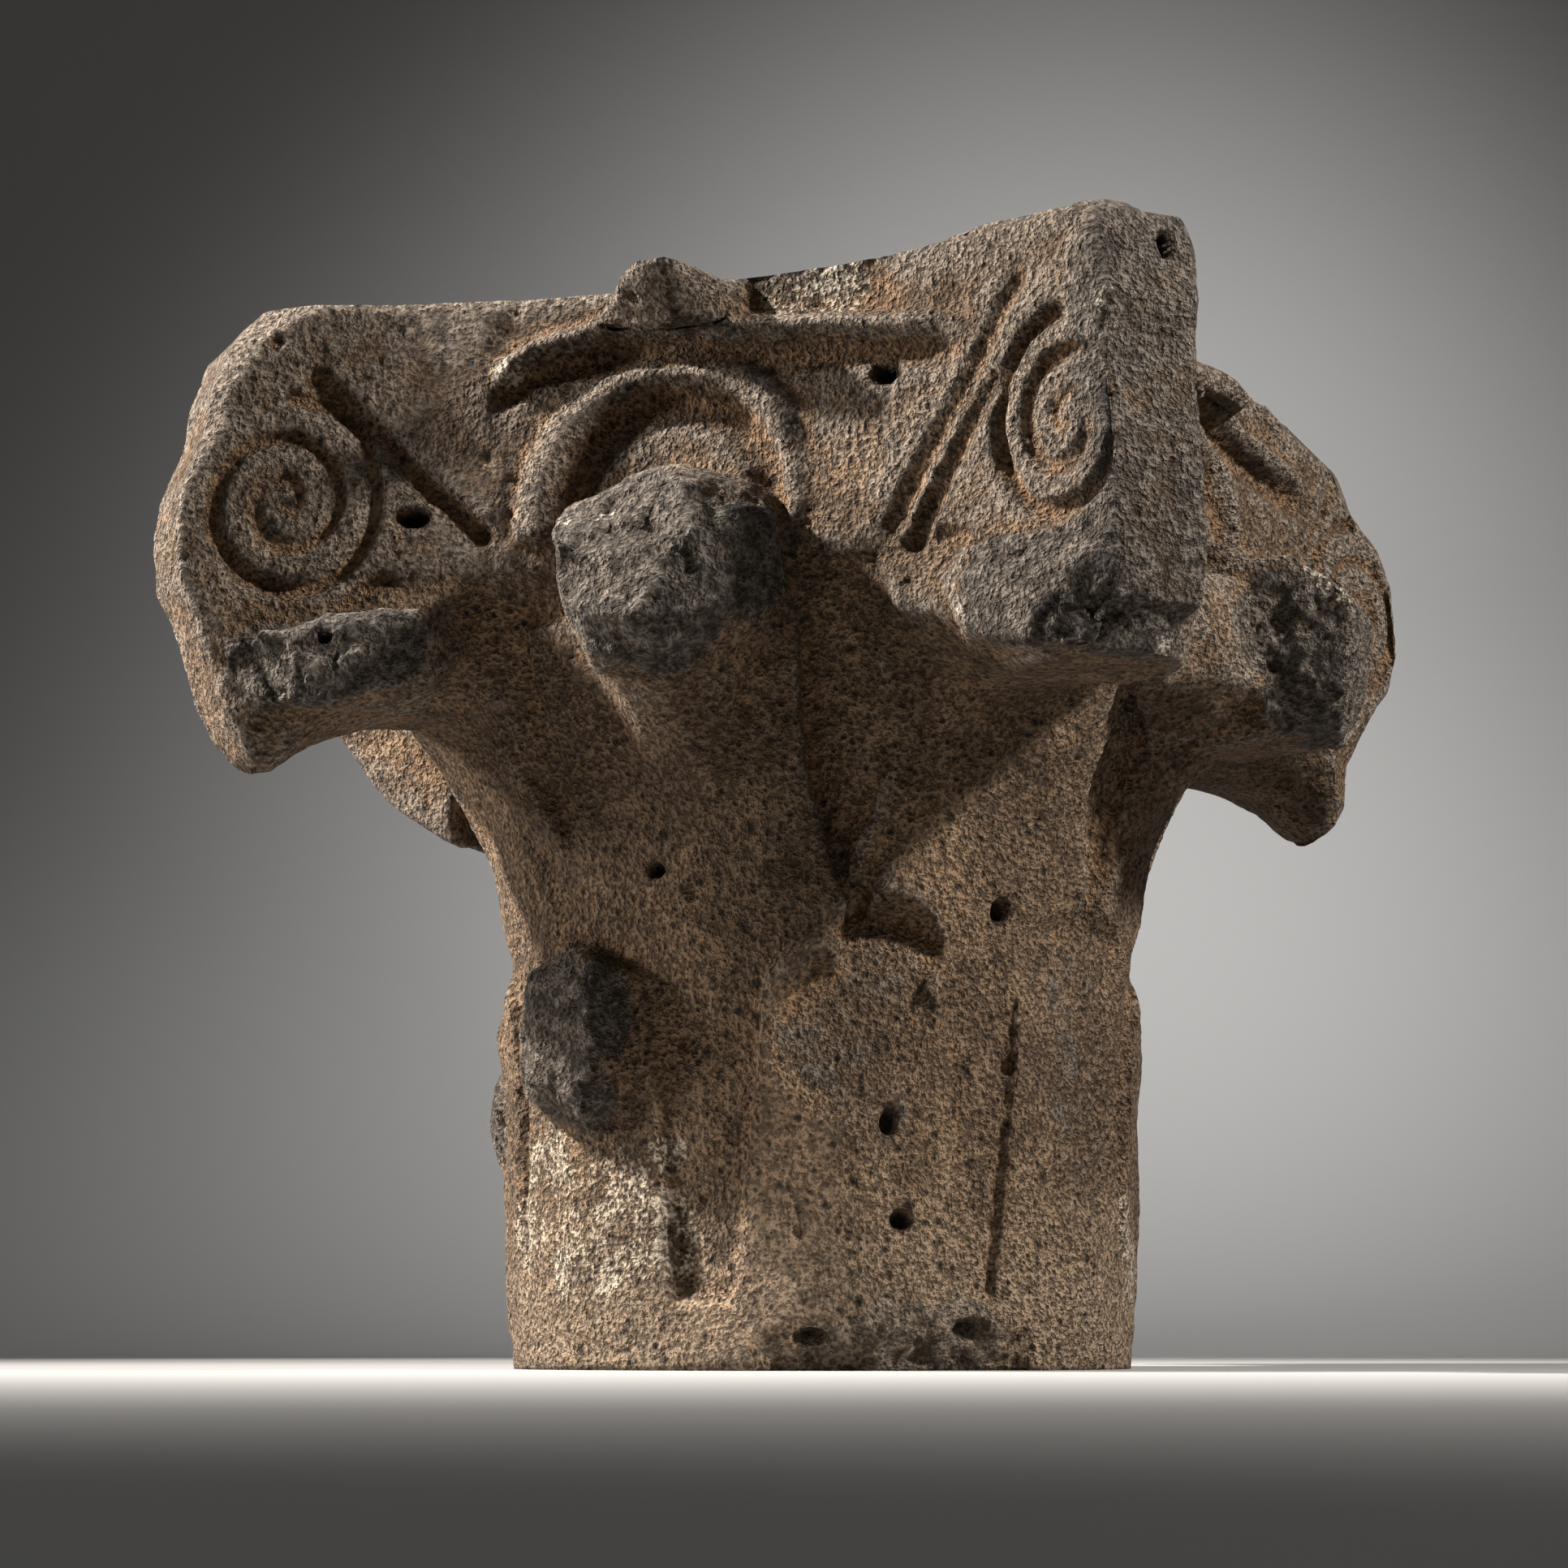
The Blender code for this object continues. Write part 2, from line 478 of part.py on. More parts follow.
def break_off(points):
    """Flat broken places: each is a plane with its place, the way it faces, and how far it spreads."""
    bell_breaks = (
        (74.0, 0.1955, 0.188, 74.0, 0.02, 0.105), (31.0, 0.1915, 0.252, 27.0, 0.35, 0.040),
        (26.0, 0.1985, 0.200, 22.0, 0.12, 0.055), (-68.0, 0.205, 0.240, -68.0, 0.3, 0.05),
        (20.0, 0.196, 0.020, 20.0, -0.50, 0.045), (45.0, 0.194, 0.022, 45.0, -0.60, 0.060),
        (113.0, 0.203, 0.235, 113.0, 0.25, 0.06), (158.5, 0.204, 0.24, 158.5, 0.3, 0.06),
        (202.5, 0.203, 0.235, 202.5, 0.3, 0.055), (247.5, 0.204, 0.24, 247.5, 0.3, 0.06),
    )
    for azimuth, radius, z, facing, rise, spread in bell_breaks:
        place = place_on_bell(np.radians(azimuth), radius, z)
        normal = place_on_bell(np.radians(facing), math.cos(rise), math.sin(rise))
        points = cut_flat(points, place, normal, (place, spread))

    # The upper edge of the right side is worn away towards the far corner
    worn_edge = ((0.02, 0.283, 0.640, 0.09), (0.14, 0.287, 0.640, 0.11), (0.23, 0.284, 0.646, 0.10))
    for along, out, z, spread in worn_edge:
        place = place_on_side(1, np.float64(along), out, z)
        points = cut_flat(points, place, place_on_side(1, np.float64(0), 0.75, 0.66), (place, spread))
    return points


def carve(points, normals):
    """Move the points of the fused body by the carving, the wear and the breaks."""
    azimuth = np.arctan2(points[:, 0], -points[:, 1])
    side = np.round(azimuth / (math.pi / 2)).astype(int) % 4
    turn = side * math.pi / 2
    outward = np.stack([np.sin(turn), -np.cos(turn), 0 * turn], axis=-1)
    along = np.stack([np.cos(turn), np.sin(turn), 0 * turn], axis=-1)
    u = np.sum(points * along, axis=1)
    n = np.sum(points * outward, axis=1)
    z = points[:, 2]
    slope = np.clip(u, -HALF_CHORD, HALF_CHORD) / SIDE_RADIUS
    face_normal = outward * np.sqrt(1 - slope**2)[:, None] - along * slope[:, None]
    on_face = smooth_step(0.012, 0.004, np.abs(n - side_face(u)))
    on_face *= smooth_step(0.25, 0.6, np.sum(normals * face_normal, axis=1))
    on_face *= smooth_step(0.405, 0.425, z)
    on_face *= smooth_step(HALF_CHORD + 0.012, HALF_CHORD - 0.002, np.abs(u))

    relief = volute_relief(u, z, side) + stem_relief(u, z, side)
    relief += arch_relief(u, z) + ledge_relief(u, z, side)
    points = points + face_normal * (relief * on_face)[:, None]

    # Ends of the corners
    for corner, ends in enumerate(CORNER_ENDS):
        diagonal = (corner + 0.5) * math.pi / 2
        out = np.array([math.sin(diagonal), -math.cos(diagonal), 0])
        across = points @ np.array([math.cos(diagonal), math.sin(diagonal), 0])
        taper = CORNER_END_TAPER * np.clip(np.abs(across) - CORNER_END_WIDTH / 2, 0, 0.05)
        beyond = np.clip(points @ out - CORNER_REACH + read(ends, points[:, 2]) + taper, 0, None)
        beyond = np.where(points @ out > 0.3, beyond, 0)
        points = points - beyond[:, None] * out

    points = break_off(points)
    near_chin = place_on_side(0.5, np.zeros(1), 0.40, NEAR_CHIN_BREAK)[0]
    points = cut_flat(points, near_chin, (0, 0, -1), (near_chin, 0.115))

    # The two beds are flat
    for bed in (0.0, HEIGHT):
        points[np.abs(points[:, 2] - bed) < BED_SNAP, 2] = bed
    points[:, 2] = np.clip(points[:, 2], 0, None)
    return points


def evaluated_copy(piece):
    """The piece's mesh with its modifiers applied."""
    return bpy.data.meshes.new_from_object(piece.evaluated_get(bpy.context.evaluated_depsgraph_get()))


def drop_folds(mesh):
    """Remove faces that lie back to back on the same corners, which thinning leaves on flat beds."""
    shell = bmesh.new()
    shell.from_mesh(mesh)
    by_corners = {}
    for face in shell.faces:
        by_corners.setdefault(frozenset(v.index for v in face.verts), []).append(face)
    folded = [face for faces in by_corners.values() if len(faces) > 1 for face in faces]
    bmesh.ops.delete(shell, geom=folded, context="FACES")
    loose = [v for v in shell.verts if not v.link_faces]
    bmesh.ops.delete(shell, geom=loose, context="VERTS")
    shell.to_mesh(mesh)
    shell.free()


def main():
    for old in list(bpy.data.objects):
        bpy.data.objects.remove(old)
    body = bmesh.new()
    add_core(body)
    for number in range(len(HOLLOWS)):
        add_upper_leaf(body, number)
        add_hollow_floor(body, number)
        add_lower_leaf(body, LOWER_LEAVES[number])
    for side in range(4):
        add_corner_leaf(body, side)
        add_side_leaf(body, side)
    add_breaks(body)
    mesh = bpy.data.meshes.new("capital")
    body.to_mesh(mesh)
    body.free()
    capital = bpy.data.objects.new("capital", mesh)
    bpy.context.collection.objects.link(capital)

    fuse = capital.modifiers.new("fuse", "REMESH")
    fuse.mode = "VOXEL"
    fuse.voxel_size = FUSED_EDGE
    fused = evaluated_copy(capital)
    capital.modifiers.clear()
    capital.data = fused
    bpy.data.meshes.remove(mesh)

    count = len(fused.vertices)
    points = np.empty(count * 3)
    fused.vertices.foreach_get("co", points)
    normals = np.empty(count * 3)
    fused.vertices.foreach_get("normal", normals)
    points = carve(points.reshape(-1, 3), normals.reshape(-1, 3))
    fused.vertices.foreach_set("co", points.ravel())
    fused.update()

    thin = capital.modifiers.new("thin", "DECIMATE")
    thin.ratio = SOLID_TRIANGLES / (2 * len(fused.polygons))
    thin.use_collapse_triangulate = True
    thinned = evaluated_copy(capital)
    drop_folds(thinned)
    capital.modifiers.clear()
    capital.data = thinned
    bpy.data.meshes.remove(fused)

    stone = bpy.data.materials.new("basalt")
    stone.use_nodes = True
    shader = stone.node_tree.nodes["Principled BSDF"]
    shader.inputs["Base Color"].default_value = STONE_COLOUR
    shader.inputs["Roughness"].default_value = 0.9
    thinned.materials.append(stone)
    bpy.context.view_layer.update()


main()
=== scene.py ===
"""Looks of the basalt capital: its carving and weathered surface as one fine mesh, its stone, and the studio.

Units are metres, +Z is up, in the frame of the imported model. The main side faces -Y, and the other sides
follow it towards +X. A place on the bell is given by its azimuth, counted from -Y towards +X. A place on a
side is given by its distance along the side, its distance out from the axis, and its height.
"""

import json
import math

import bmesh
import bpy
import numpy as np
from mathutils import Matrix, Vector, noise


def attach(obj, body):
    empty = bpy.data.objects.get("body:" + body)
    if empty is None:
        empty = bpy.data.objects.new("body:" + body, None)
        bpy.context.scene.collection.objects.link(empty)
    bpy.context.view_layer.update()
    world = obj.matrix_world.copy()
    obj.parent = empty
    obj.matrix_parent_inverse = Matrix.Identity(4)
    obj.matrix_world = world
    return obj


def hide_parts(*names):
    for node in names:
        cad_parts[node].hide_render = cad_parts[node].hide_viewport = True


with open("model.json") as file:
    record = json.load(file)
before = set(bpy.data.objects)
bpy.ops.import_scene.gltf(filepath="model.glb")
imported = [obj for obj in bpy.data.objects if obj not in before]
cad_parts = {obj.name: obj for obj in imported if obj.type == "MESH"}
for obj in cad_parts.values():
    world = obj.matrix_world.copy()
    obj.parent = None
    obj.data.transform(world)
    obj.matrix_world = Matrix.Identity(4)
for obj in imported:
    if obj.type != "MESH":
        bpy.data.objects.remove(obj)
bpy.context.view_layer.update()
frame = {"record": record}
mounts = {mount["name"]: mount for mount in frame["record"]["mounts"]}

# Overall sizes
HEIGHT = mounts["top_bed"]["pos_m"][2]
FOOT_RADIUS = 0.2005
CORNER_REACH = 0.454
CORNER_END_WIDTH = 0.056
SIDE_TURN = math.radians(30)

# Bell, as (height, radius): the core shows in the hollows, and the leaves lie on it
CORE = (
    (0.0, 0.186), (0.27, 0.189), (0.33, 0.196), (0.365, 0.205), (0.395, 0.222), (0.425, 0.246),
    (0.455, 0.270), (0.520, 0.270), (0.530, 0.240),
)
CORE_INSIDE = 0.15
UPPER_LEAF_FACE = (
    (0.0, 0.190), (0.10, 0.194), (0.20, 0.198), (0.25, 0.2035), (0.30, 0.2125), (0.34, 0.222), (0.37, 0.237),
    (0.395, 0.251), (0.42, 0.264), (0.45, 0.275),
)
UPPER_LEAF_FOOT = 0.05
BELL_TOP = 0.385
LOWER_LEAF_THICKNESS = 0.0105
LOWER_LEAF_TIP = 0.264
FOOT_RING_HEIGHT = 0.042
HOLLOWS = tuple(math.radians(a) for a in (-31.0, 26.0, 76.0, 115.0, 158.5, 203.0, 248.0, 292.0))
LOWER_LEAVES = tuple(math.radians(a) for a in (-27.5, 25.5, 72.0, 113.0, 158.5, 202.5, 247.5, 291.0))
HOLLOW_DEPTHS = (0.005, 0.022, 0.016, 0.012, 0.014, 0.010, 0.014, 0.012)
HOLLOW_FOOT = 0.266
HOLLOW_HALF_ANGLE = math.radians(9.0)
HOLLOW_RISE = 0.095
LOWER_LEAF_FOOT_HALF = math.radians(21.5)
LOWER_LEAF_NARROWING = math.radians(7.0)
LOWER_LEAF_FOOT = 0.02

# Underside of a corner: distance out along the diagonal, height and half width
CORNER_LEAF = (
    (0.190, 0.290, 0.070), (0.226, 0.350, 0.062), (0.241, 0.374, 0.060), (0.254, 0.394, 0.066),
    (0.272, 0.404, 0.085), (0.305, 0.402, 0.096), (0.335, 0.394, 0.080), (0.356, 0.384, 0.068),
    (0.376, 0.367, 0.054), (0.400, 0.364, 0.047), (0.416, 0.380, 0.044), (0.432, 0.410, 0.040),
    (0.448, 0.445, 0.038), (0.456, 0.480, 0.036),
)
CORNER_LEAF_TOP = 0.57
CORNER_KEEL = 0.040
# Ends of the corners from the near one on, each worn in its own way, as (height, how far short of the reach)
CORNER_ENDS = (
    ((0.385, 0.039), (0.400, 0.018), (0.450, 0.005), (0.500, 0.008), (0.545, 0.014), (0.580, 0.015),
     (0.600, 0.009), (0.620, 0.014), (0.640, 0.018), (0.655, 0.028), (0.667, 0.046)),
    ((0.360, 0.079), (0.375, 0.069), (0.390, 0.060), (0.420, 0.059), (0.440, 0.047), (0.477, 0.019),
     (0.500, 0.012), (0.550, 0.017), (0.579, 0.028), (0.600, 0.048), (0.630, 0.060), (0.655, 0.092)),
    ((0.350, 0.059), (0.378, 0.041), (0.430, 0.022), (0.475, 0.005), (0.505, 0.000), (0.560, 0.005),
     (0.600, 0.018), (0.635, 0.036), (0.655, 0.056)),
    ((0.360, 0.069), (0.374, 0.055), (0.393, 0.043), (0.411, 0.034), (0.430, 0.030), (0.460, 0.017),
     (0.480, 0.007), (0.515, 0.004), (0.537, 0.007), (0.572, 0.021), (0.600, 0.024), (0.630, 0.036),
     (0.650, 0.053), (0.665, 0.074)),
)
CORNER_END_TAPER = 0.9
NEAR_CHIN_BREAK = 0.398

# Leaf in the middle of a side: distance out, lower face, upper face and half width
SIDE_LEAF = (
    (0.190, 0.300, 0.530, 0.030), (0.226, 0.344, 0.530, 0.040), (0.245, 0.366, 0.528, 0.048),
    (0.268, 0.386, 0.525, 0.054), (0.296, 0.404, 0.512, 0.056), (0.320, 0.424, 0.495, 0.052),
    (0.336, 0.450, 0.475, 0.044),
)
SIDE_LEAF_KEEL = 0.040
KEEL_SHARPNESS = 2.2
ABACUS_FOOT = 0.484
ABACUS_FOOT_SLOPE = 1.8
ABACUS_INSIDE = 0.62
FLARE_RADIUS = 0.25
FLARE_SLOPE = 1.2

# Carving on the sides. The volutes are (side, along, height, half width, half height, wound to the left)
VOLUTES = (
    (0, -0.238, 0.528, 0.057, 0.0675, -1), (0, 0.262, 0.5325, 0.049, 0.0645, 1),
    (1, -0.255, 0.532, 0.053, 0.066, -1), (1, 0.248, 0.524, 0.053, 0.066, 1),
    (2, -0.248, 0.530, 0.053, 0.066, -1), (2, 0.248, 0.530, 0.053, 0.066, 1),
    (3, -0.248, 0.530, 0.053, 0.066, -1), (3, 0.248, 0.530, 0.053, 0.066, 1),
)
VOLUTE_TURNS = 2.5
GROOVE_HALF_WIDTH = 0.0070
GROOVE_DEPTH = 0.0080
EYE_SHARE = 0.40
GROOVE_FULL_AT = 0.050
STEM_LINES = (
    ((0.232, 0.622), (0.205, 0.578), (0.165, 0.520), (0.146, 0.488)),
    ((0.214, 0.566), (0.186, 0.520), (0.160, 0.478)),
)
STEM_DEPTHS = (0.0045, 0.0065)
STEM_HALF_WIDTH = 0.0085
LEFT_STEM_LINE = ((0.222, 0.606), (0.190, 0.574), (0.155, 0.536), (0.122, 0.506))
LEFT_STEM_DEPTH = 0.008
LEFT_STEM_HALF_WIDTH = 0.009
HIDDEN_STEM_DEPTH = 0.007
ARCH_HALF_WIDTH = 0.088
ARCH_FOOT = 0.512
ARCH_RISE = 0.090
ARCH_BAND = 0.0078
ARCH_HEIGHT = 0.0085
ARCH_GROUND_DEPTH = 0.007
# The ledge, as (along, below the upper bed), and the cove between it and the bed
LEDGE = (
    (-0.115, 0.048), (-0.088, 0.035), (-0.050, 0.026), (-0.010, 0.026), (0.050, 0.033), (0.120, 0.040),
    (0.190, 0.052),
)
LEDGE_HALF_WIDTH = 0.0100
LEDGE_REACH = 0.012
LEDGE_GROUND_DEPTH = 0.006
COVE_LEFT = 0.042
COVE_RIGHT = 0.150
COVE_DEPTH = 0.007

# Mesh
BED_SNAP = 0.002
ROUND_STEPS = 192
BLOCK_FINENESS = 3
FINE_EDGE = 0.0028
FINE_TRIANGLES = 196000
FINE_SMOOTHING = 8
SMOOTHING_FACTOR = 0.5

# Unevenness from the hand work down to the grain, as (height, size, seed, octaves)
UNEVENNESS = ((0.0022, 0.090, 1, 2), (0.0012, 0.030, 2, 3), (0.0006, 0.0085, 3, 2))
# Chunks of the broken faces, as (height, size, seed)
CHUNKS = ((0.0036, 0.026, 4), (0.0016, 0.010, 5))
# Vesicles wide enough for the mesh, as (depth, cell, radius, share of cells, seed)
VESICLES = ((0.0016, 0.0125, 0.0030, 0.45, 1.0), (0.0032, 0.034, 0.0050, 0.30, 2.0))
BED_WEAR = 0.6

# Hollows and old breaks, as the stone's colour reads them, with painted shade on the near corner's end
FINE_HOLLOW_GAIN = 900
BROAD_HOLLOW_GAIN = 260
BROAD_HOLLOW_ROUNDS = 14
FINE_HOLLOW_ROUNDS = 2
# The near corner's end: a real break, darkened further with painted shade
NEAR_END_BREAK_AND_SHADE_SHARE = 0.74
LEAF_SCAR_SHARE = 0.46

# Single larger holes on the bell, as (azimuth in degrees, height, half width, half height)
BELL_HOLES = (
    (-8.6, 0.302, 0.0055, 0.005), (52.1, 0.277, 0.0060, 0.0085), (31.2, 0.148, 0.0050, 0.0090),
    (33.7, 0.089, 0.0065, 0.0070), (18.0, 0.020, 0.010, 0.005), (47.0, 0.024, 0.011, 0.006),
    (148.0, 0.230, 0.006, 0.007), (205.0, 0.120, 0.006, 0.006), (262.0, 0.300, 0.006, 0.006),
)
# Single larger holes on the sides, as (side, along, height, half width, half height)
SIDE_HOLES = (
    (0, -0.165, 0.518, 0.0110, 0.0060), (0, 0.140, 0.583, 0.0100, 0.0080), (0, -0.205, 0.440, 0.004, 0.003),
    (1, -0.052, 0.433, 0.005, 0.007), (0.5, 0.012, 0.634, 0.0045, 0.009), (2, 0.130, 0.570, 0.006, 0.006),
    (3, -0.120, 0.590, 0.007, 0.006),
)
HOLE_DEPTH = 0.011

# Rows that scramble a cell's three numbers, so that every cell gets its own pit
CELL_SCRAMBLE = np.array([[12.9898, 39.425, 73.156], [78.233, 11.135, 52.235], [37.719, 83.155, 9.151]])
CELL_SPREAD = 43758.5453

# Colours of the stone, and the near-black painted shade of its pits
TAN = (0.225, 0.145, 0.086, 1.0)
BROWN = (0.130, 0.084, 0.051, 1.0)
ORANGE = (0.225, 0.118, 0.055, 1.0)
WORN_GREY = (0.205, 0.165, 0.130, 1.0)
DARK_BREAK = (0.062, 0.052, 0.043, 1.0)
GREY_BREAK = (0.135, 0.113, 0.093, 1.0)
LIME = (0.60, 0.53, 0.42, 1.0)
DUST = (0.42, 0.32, 0.225, 1.0)
# Painted shade: near black, for the insides of pits and holes and the low parts of the crumbs
PIT_SHADE = (0.014, 0.009, 0.005, 1.0)

# Pits too small for the mesh, as (cell, radius, share of cells); they dent the bump and get painted shade
FINE_PITS = (0.0034, 0.00155, 0.62)
MID_PITS = (0.0066, 0.0026, 0.50)
WIDE_PITS = (0.0180, 0.0038, 0.35)
RAGGED_SIZE = 0.0030
RAGGED_REACH = 0.0010

# Studio
STAGE_HALF_WIDTH = 6.0
STAGE_FRONT = -5.0
STAGE_BACK = 3.2
STAGE_BEND = 1.2
STAGE_TOP = 6.0
STAGE_BEND_STEPS = 24
STAGE_TURN = math.radians(20.0)
PALE_GREY = (0.27, 0.265, 0.257, 1.0)
CAMERA_LENS = 81.33
CAMERA_SENSOR = 36.0
CAMERA_PLACE = (0.7985, -2.1940, 0.0173)
CAMERA_RISE = 8.946
CAMERA_TURN = 20.606
LIGHT_SPREAD = 60
WARM = (1.0, 0.96, 0.91)
MILD = (1.0, 0.97, 0.93)
NEUTRAL = (1.0, 1.0, 1.0)
WORLD_LIGHT = 0.03

HALF_CHORD = (CORNER_REACH - CORNER_END_WIDTH / 2) / math.sqrt(2)
SIDE_RADIUS = HALF_CHORD / math.sin(SIDE_TURN)
SIDE_MIDDLE = (CORNER_REACH + CORNER_END_WIDTH / 2) / math.sqrt(2) - SIDE_RADIUS * (1 - math.cos(SIDE_TURN))


def smooth_step(start, end, x):
    """0 before start, 1 after end, and an even slope between them."""
    t = np.clip((x - start) / (end - start), 0.0, 1.0)
    return t * t * (3 - 2 * t)


def mound(x, half):
    """A round hump, 1 at zero and 0 at half and beyond."""
    return np.clip(1 - (x / half) ** 2, 0.0, 1.0)


def read(table, x):
    """The table's second value where its first is x, in even steps between the entries."""
    known = np.array(table)
    return np.interp(x, known[:, 0], known[:, 1])


def side_face(along):
    """Distance of the hollow side from the axis at a distance along it."""
    along = np.clip(along, -HALF_CHORD, HALF_CHORD)
    return SIDE_MIDDLE + SIDE_RADIUS - np.sqrt(SIDE_RADIUS**2 - along**2)


def corner_half_width(distance):
    """Half the width between the two sides at a distance along a corner's diagonal."""
    along = np.linspace(0, HALF_CHORD, 40)
    face = side_face(along)
    return np.interp(distance, (face + along) / math.sqrt(2), (face - along) / math.sqrt(2))


def place_on_side(side, along, out, z):
    """World coordinates of a place on a side. Side 0 faces -Y, 1 faces +X, and half sides are corners."""
    turn = side * math.pi / 2
    return np.stack([
        along * math.cos(turn) + out * math.sin(turn),
        along * math.sin(turn) - out * math.cos(turn),
        z + 0 * along,
    ], axis=-1)


def place_on_bell(azimuth, radius, z):
    return np.stack([radius * np.sin(azimuth), -radius * np.cos(azimuth), z + 0 * azimuth], axis=-1)


def distance_to_line(points, x, y):
    """Distance from x, y to the nearest point of a polyline."""
    best = np.full(np.shape(x), np.inf)
    for (x0, y0), (x1, y1) in zip(points, points[1:]):
        length2 = (x1 - x0) ** 2 + (y1 - y0) ** 2
        t = np.clip(((x - x0) * (x1 - x0) + (y - y0) * (y1 - y0)) / length2, 0, 1)
        best = np.minimum(best, np.hypot(x - x0 - t * (x1 - x0), y - y0 - t * (y1 - y0)))
    return best


def add_block(body, cuts, place):
    """Add a closed block. Its points run from 0 to 1 three ways, and place sets them in the world."""
    block = bmesh.new()
    bmesh.ops.create_cube(block, size=1)
    for axis, count in enumerate(cuts):
        edges = [e for e in block.edges if abs(e.verts[0].co[axis] - e.verts[1].co[axis]) > 0.5]
        bmesh.ops.subdivide_edges(block, edges=edges, cuts=count * BLOCK_FINENESS, use_grid_fill=True)
    unit = np.array([v.co for v in block.verts]) + 0.5
    for vert, co in zip(block.verts, place(unit[:, 0], unit[:, 1], unit[:, 2])):
        vert.co = co
    bmesh.ops.recalc_face_normals(block, faces=block.faces)
    mesh = bpy.data.meshes.new("block")
    block.to_mesh(mesh)
    block.free()
    body.from_mesh(mesh)
    bpy.data.meshes.remove(mesh)


def add_hull(body, points):
    """Add the closed lump with flat faces that the points span."""
    lump = bmesh.new()
    for point in points:
        lump.verts.new(point)
    result = bmesh.ops.convex_hull(lump, input=lump.verts)
    inside = [v for v in result["geom_interior"] if isinstance(v, bmesh.types.BMVert)]
    bmesh.ops.delete(lump, geom=inside, context="VERTS")
    mesh = bpy.data.meshes.new("lump")
    lump.to_mesh(mesh)
    lump.free()
    body.from_mesh(mesh)
    bpy.data.meshes.remove(mesh)


def add_core(body):
    """The round core of the bell with the foot ring, and the abacus on it."""
    ring = FOOT_RING_HEIGHT
    profile = [(0.0, 0.0), (FOOT_RADIUS, 0.0), (FOOT_RADIUS, ring - 0.003)]
    profile += [(read(CORE, ring) + 0.004, ring + 0.005)]
    profile += [(radius, z) for z, radius in CORE if z > ring + 0.01]
    profile += [(CORE[-1][1], HEIGHT), (0.0, HEIGHT)]
    core = bmesh.new()
    verts = [core.verts.new((radius, 0, z)) for radius, z in profile]
    edges = [core.edges.new(pair) for pair in zip(verts, verts[1:])]
    bmesh.ops.spin(core, geom=verts + edges, cent=(0, 0, 0), axis=(0, 0, 1), angle=2 * math.pi,
                   steps=ROUND_STEPS, use_merge=True)
    bmesh.ops.remove_doubles(core, verts=core.verts, dist=1e-6)
    bmesh.ops.recalc_face_normals(core, faces=core.faces)
    mesh = bpy.data.meshes.new("core")
    core.to_mesh(mesh)
    core.free()
    body.from_mesh(mesh)
    bpy.data.meshes.remove(mesh)

    def abacus(side):
        def place(across, depth, up):
            along = (2 * across - 1) * HALF_CHORD
            face = side_face(along)
            reach = face * (ABACUS_INSIDE + (1 - ABACUS_INSIDE) * depth)
            flare = BELL_TOP + FLARE_SLOPE * (np.hypot(along, face) * reach / face - FLARE_RADIUS)
            foot = ABACUS_FOOT - ABACUS_FOOT_SLOPE * (face - reach)
            foot = np.maximum(foot, np.minimum(flare, ABACUS_FOOT))
            return place_on_side(side, along * reach / face, reach, foot + (HEIGHT - foot) * up)
        return place

    for side in range(4):
        add_block(body, (36, 8, 3), abacus(side))

        def corner(across, depth, up):
            distance = 0.2 + (CORNER_REACH - 0.2) * depth
            width = corner_half_width(distance)
            foot = ABACUS_FOOT - 0.06 * smooth_step(0.33, 0.40, distance)
            return place_on_side(side + 0.5, (2 * across - 1) * width, distance, foot + (HEIGHT - foot) * up)
        add_block(body, (6, 24, 3), corner)


def add_corner_leaf(body, side):
    """The leaf under a corner, from the bell to the chin below the volutes."""
    def place(across, depth, up):
        step = depth * (len(CORNER_LEAF) - 1)
        stations = np.array(CORNER_LEAF)
        numbers = np.arange(len(CORNER_LEAF))
        distance, foot, half = (np.interp(step, numbers, column) for column in stations.T)
        sideways = 2 * across - 1
        foot = foot + CORNER_KEEL * np.abs(sideways) ** KEEL_SHARPNESS * smooth_step(0.235, 0.29, distance)
        inner = 0.12 + 0.6 * (distance - CORNER_LEAF[0][0])
        distance = distance + (inner - distance) * up * smooth_step(1.0, 0.0, depth)
        half = np.minimum(half, corner_half_width(distance))
        return place_on_side(side + 0.5, sideways * half, distance, foot + (CORNER_LEAF_TOP - foot) * up)
    add_block(body, (8, 26, 6), place)


def add_side_leaf(body, side):
    """The leaf in the middle of a side, whose curled tip is broken off."""
    def place(across, depth, up):
        step = depth * (len(SIDE_LEAF) - 1)
        numbers = np.arange(len(SIDE_LEAF))
        out, low, high, half = (np.interp(step, numbers, column) for column in np.array(SIDE_LEAF).T)
        sideways = 2 * across - 1
        low = low + SIDE_LEAF_KEEL * np.abs(sideways) ** KEEL_SHARPNESS * smooth_step(0.20, 0.26, out)
        return place_on_side(side, sideways * half, out, low + (high - low) * up)
    add_block(body, (8, 22, 6), place)


def hollow_half(z):
    """Half the angle of a hollow between the upper leaves, which opens upwards like a V."""
    return HOLLOW_HALF_ANGLE * np.clip((z - HOLLOW_FOOT) / HOLLOW_RISE, 0, 1) ** 0.75


def add_upper_leaf(body, number):
    start = HOLLOWS[number]
    width = (HOLLOWS[(number + 1) % len(HOLLOWS)] - start) % (2 * math.pi)

    def place(across, depth, up):
        z = UPPER_LEAF_FOOT + (UPPER_LEAF_FACE[-1][0] - UPPER_LEAF_FOOT) * up
        half = hollow_half(z)
        azimuth = start + half + (width - 2 * half) * across
        radius = CORE_INSIDE + (read(UPPER_LEAF_FACE, z) - CORE_INSIDE) * depth
        return place_on_bell(azimuth, radius, z)
    add_block(body, (10, 1, 30), place)


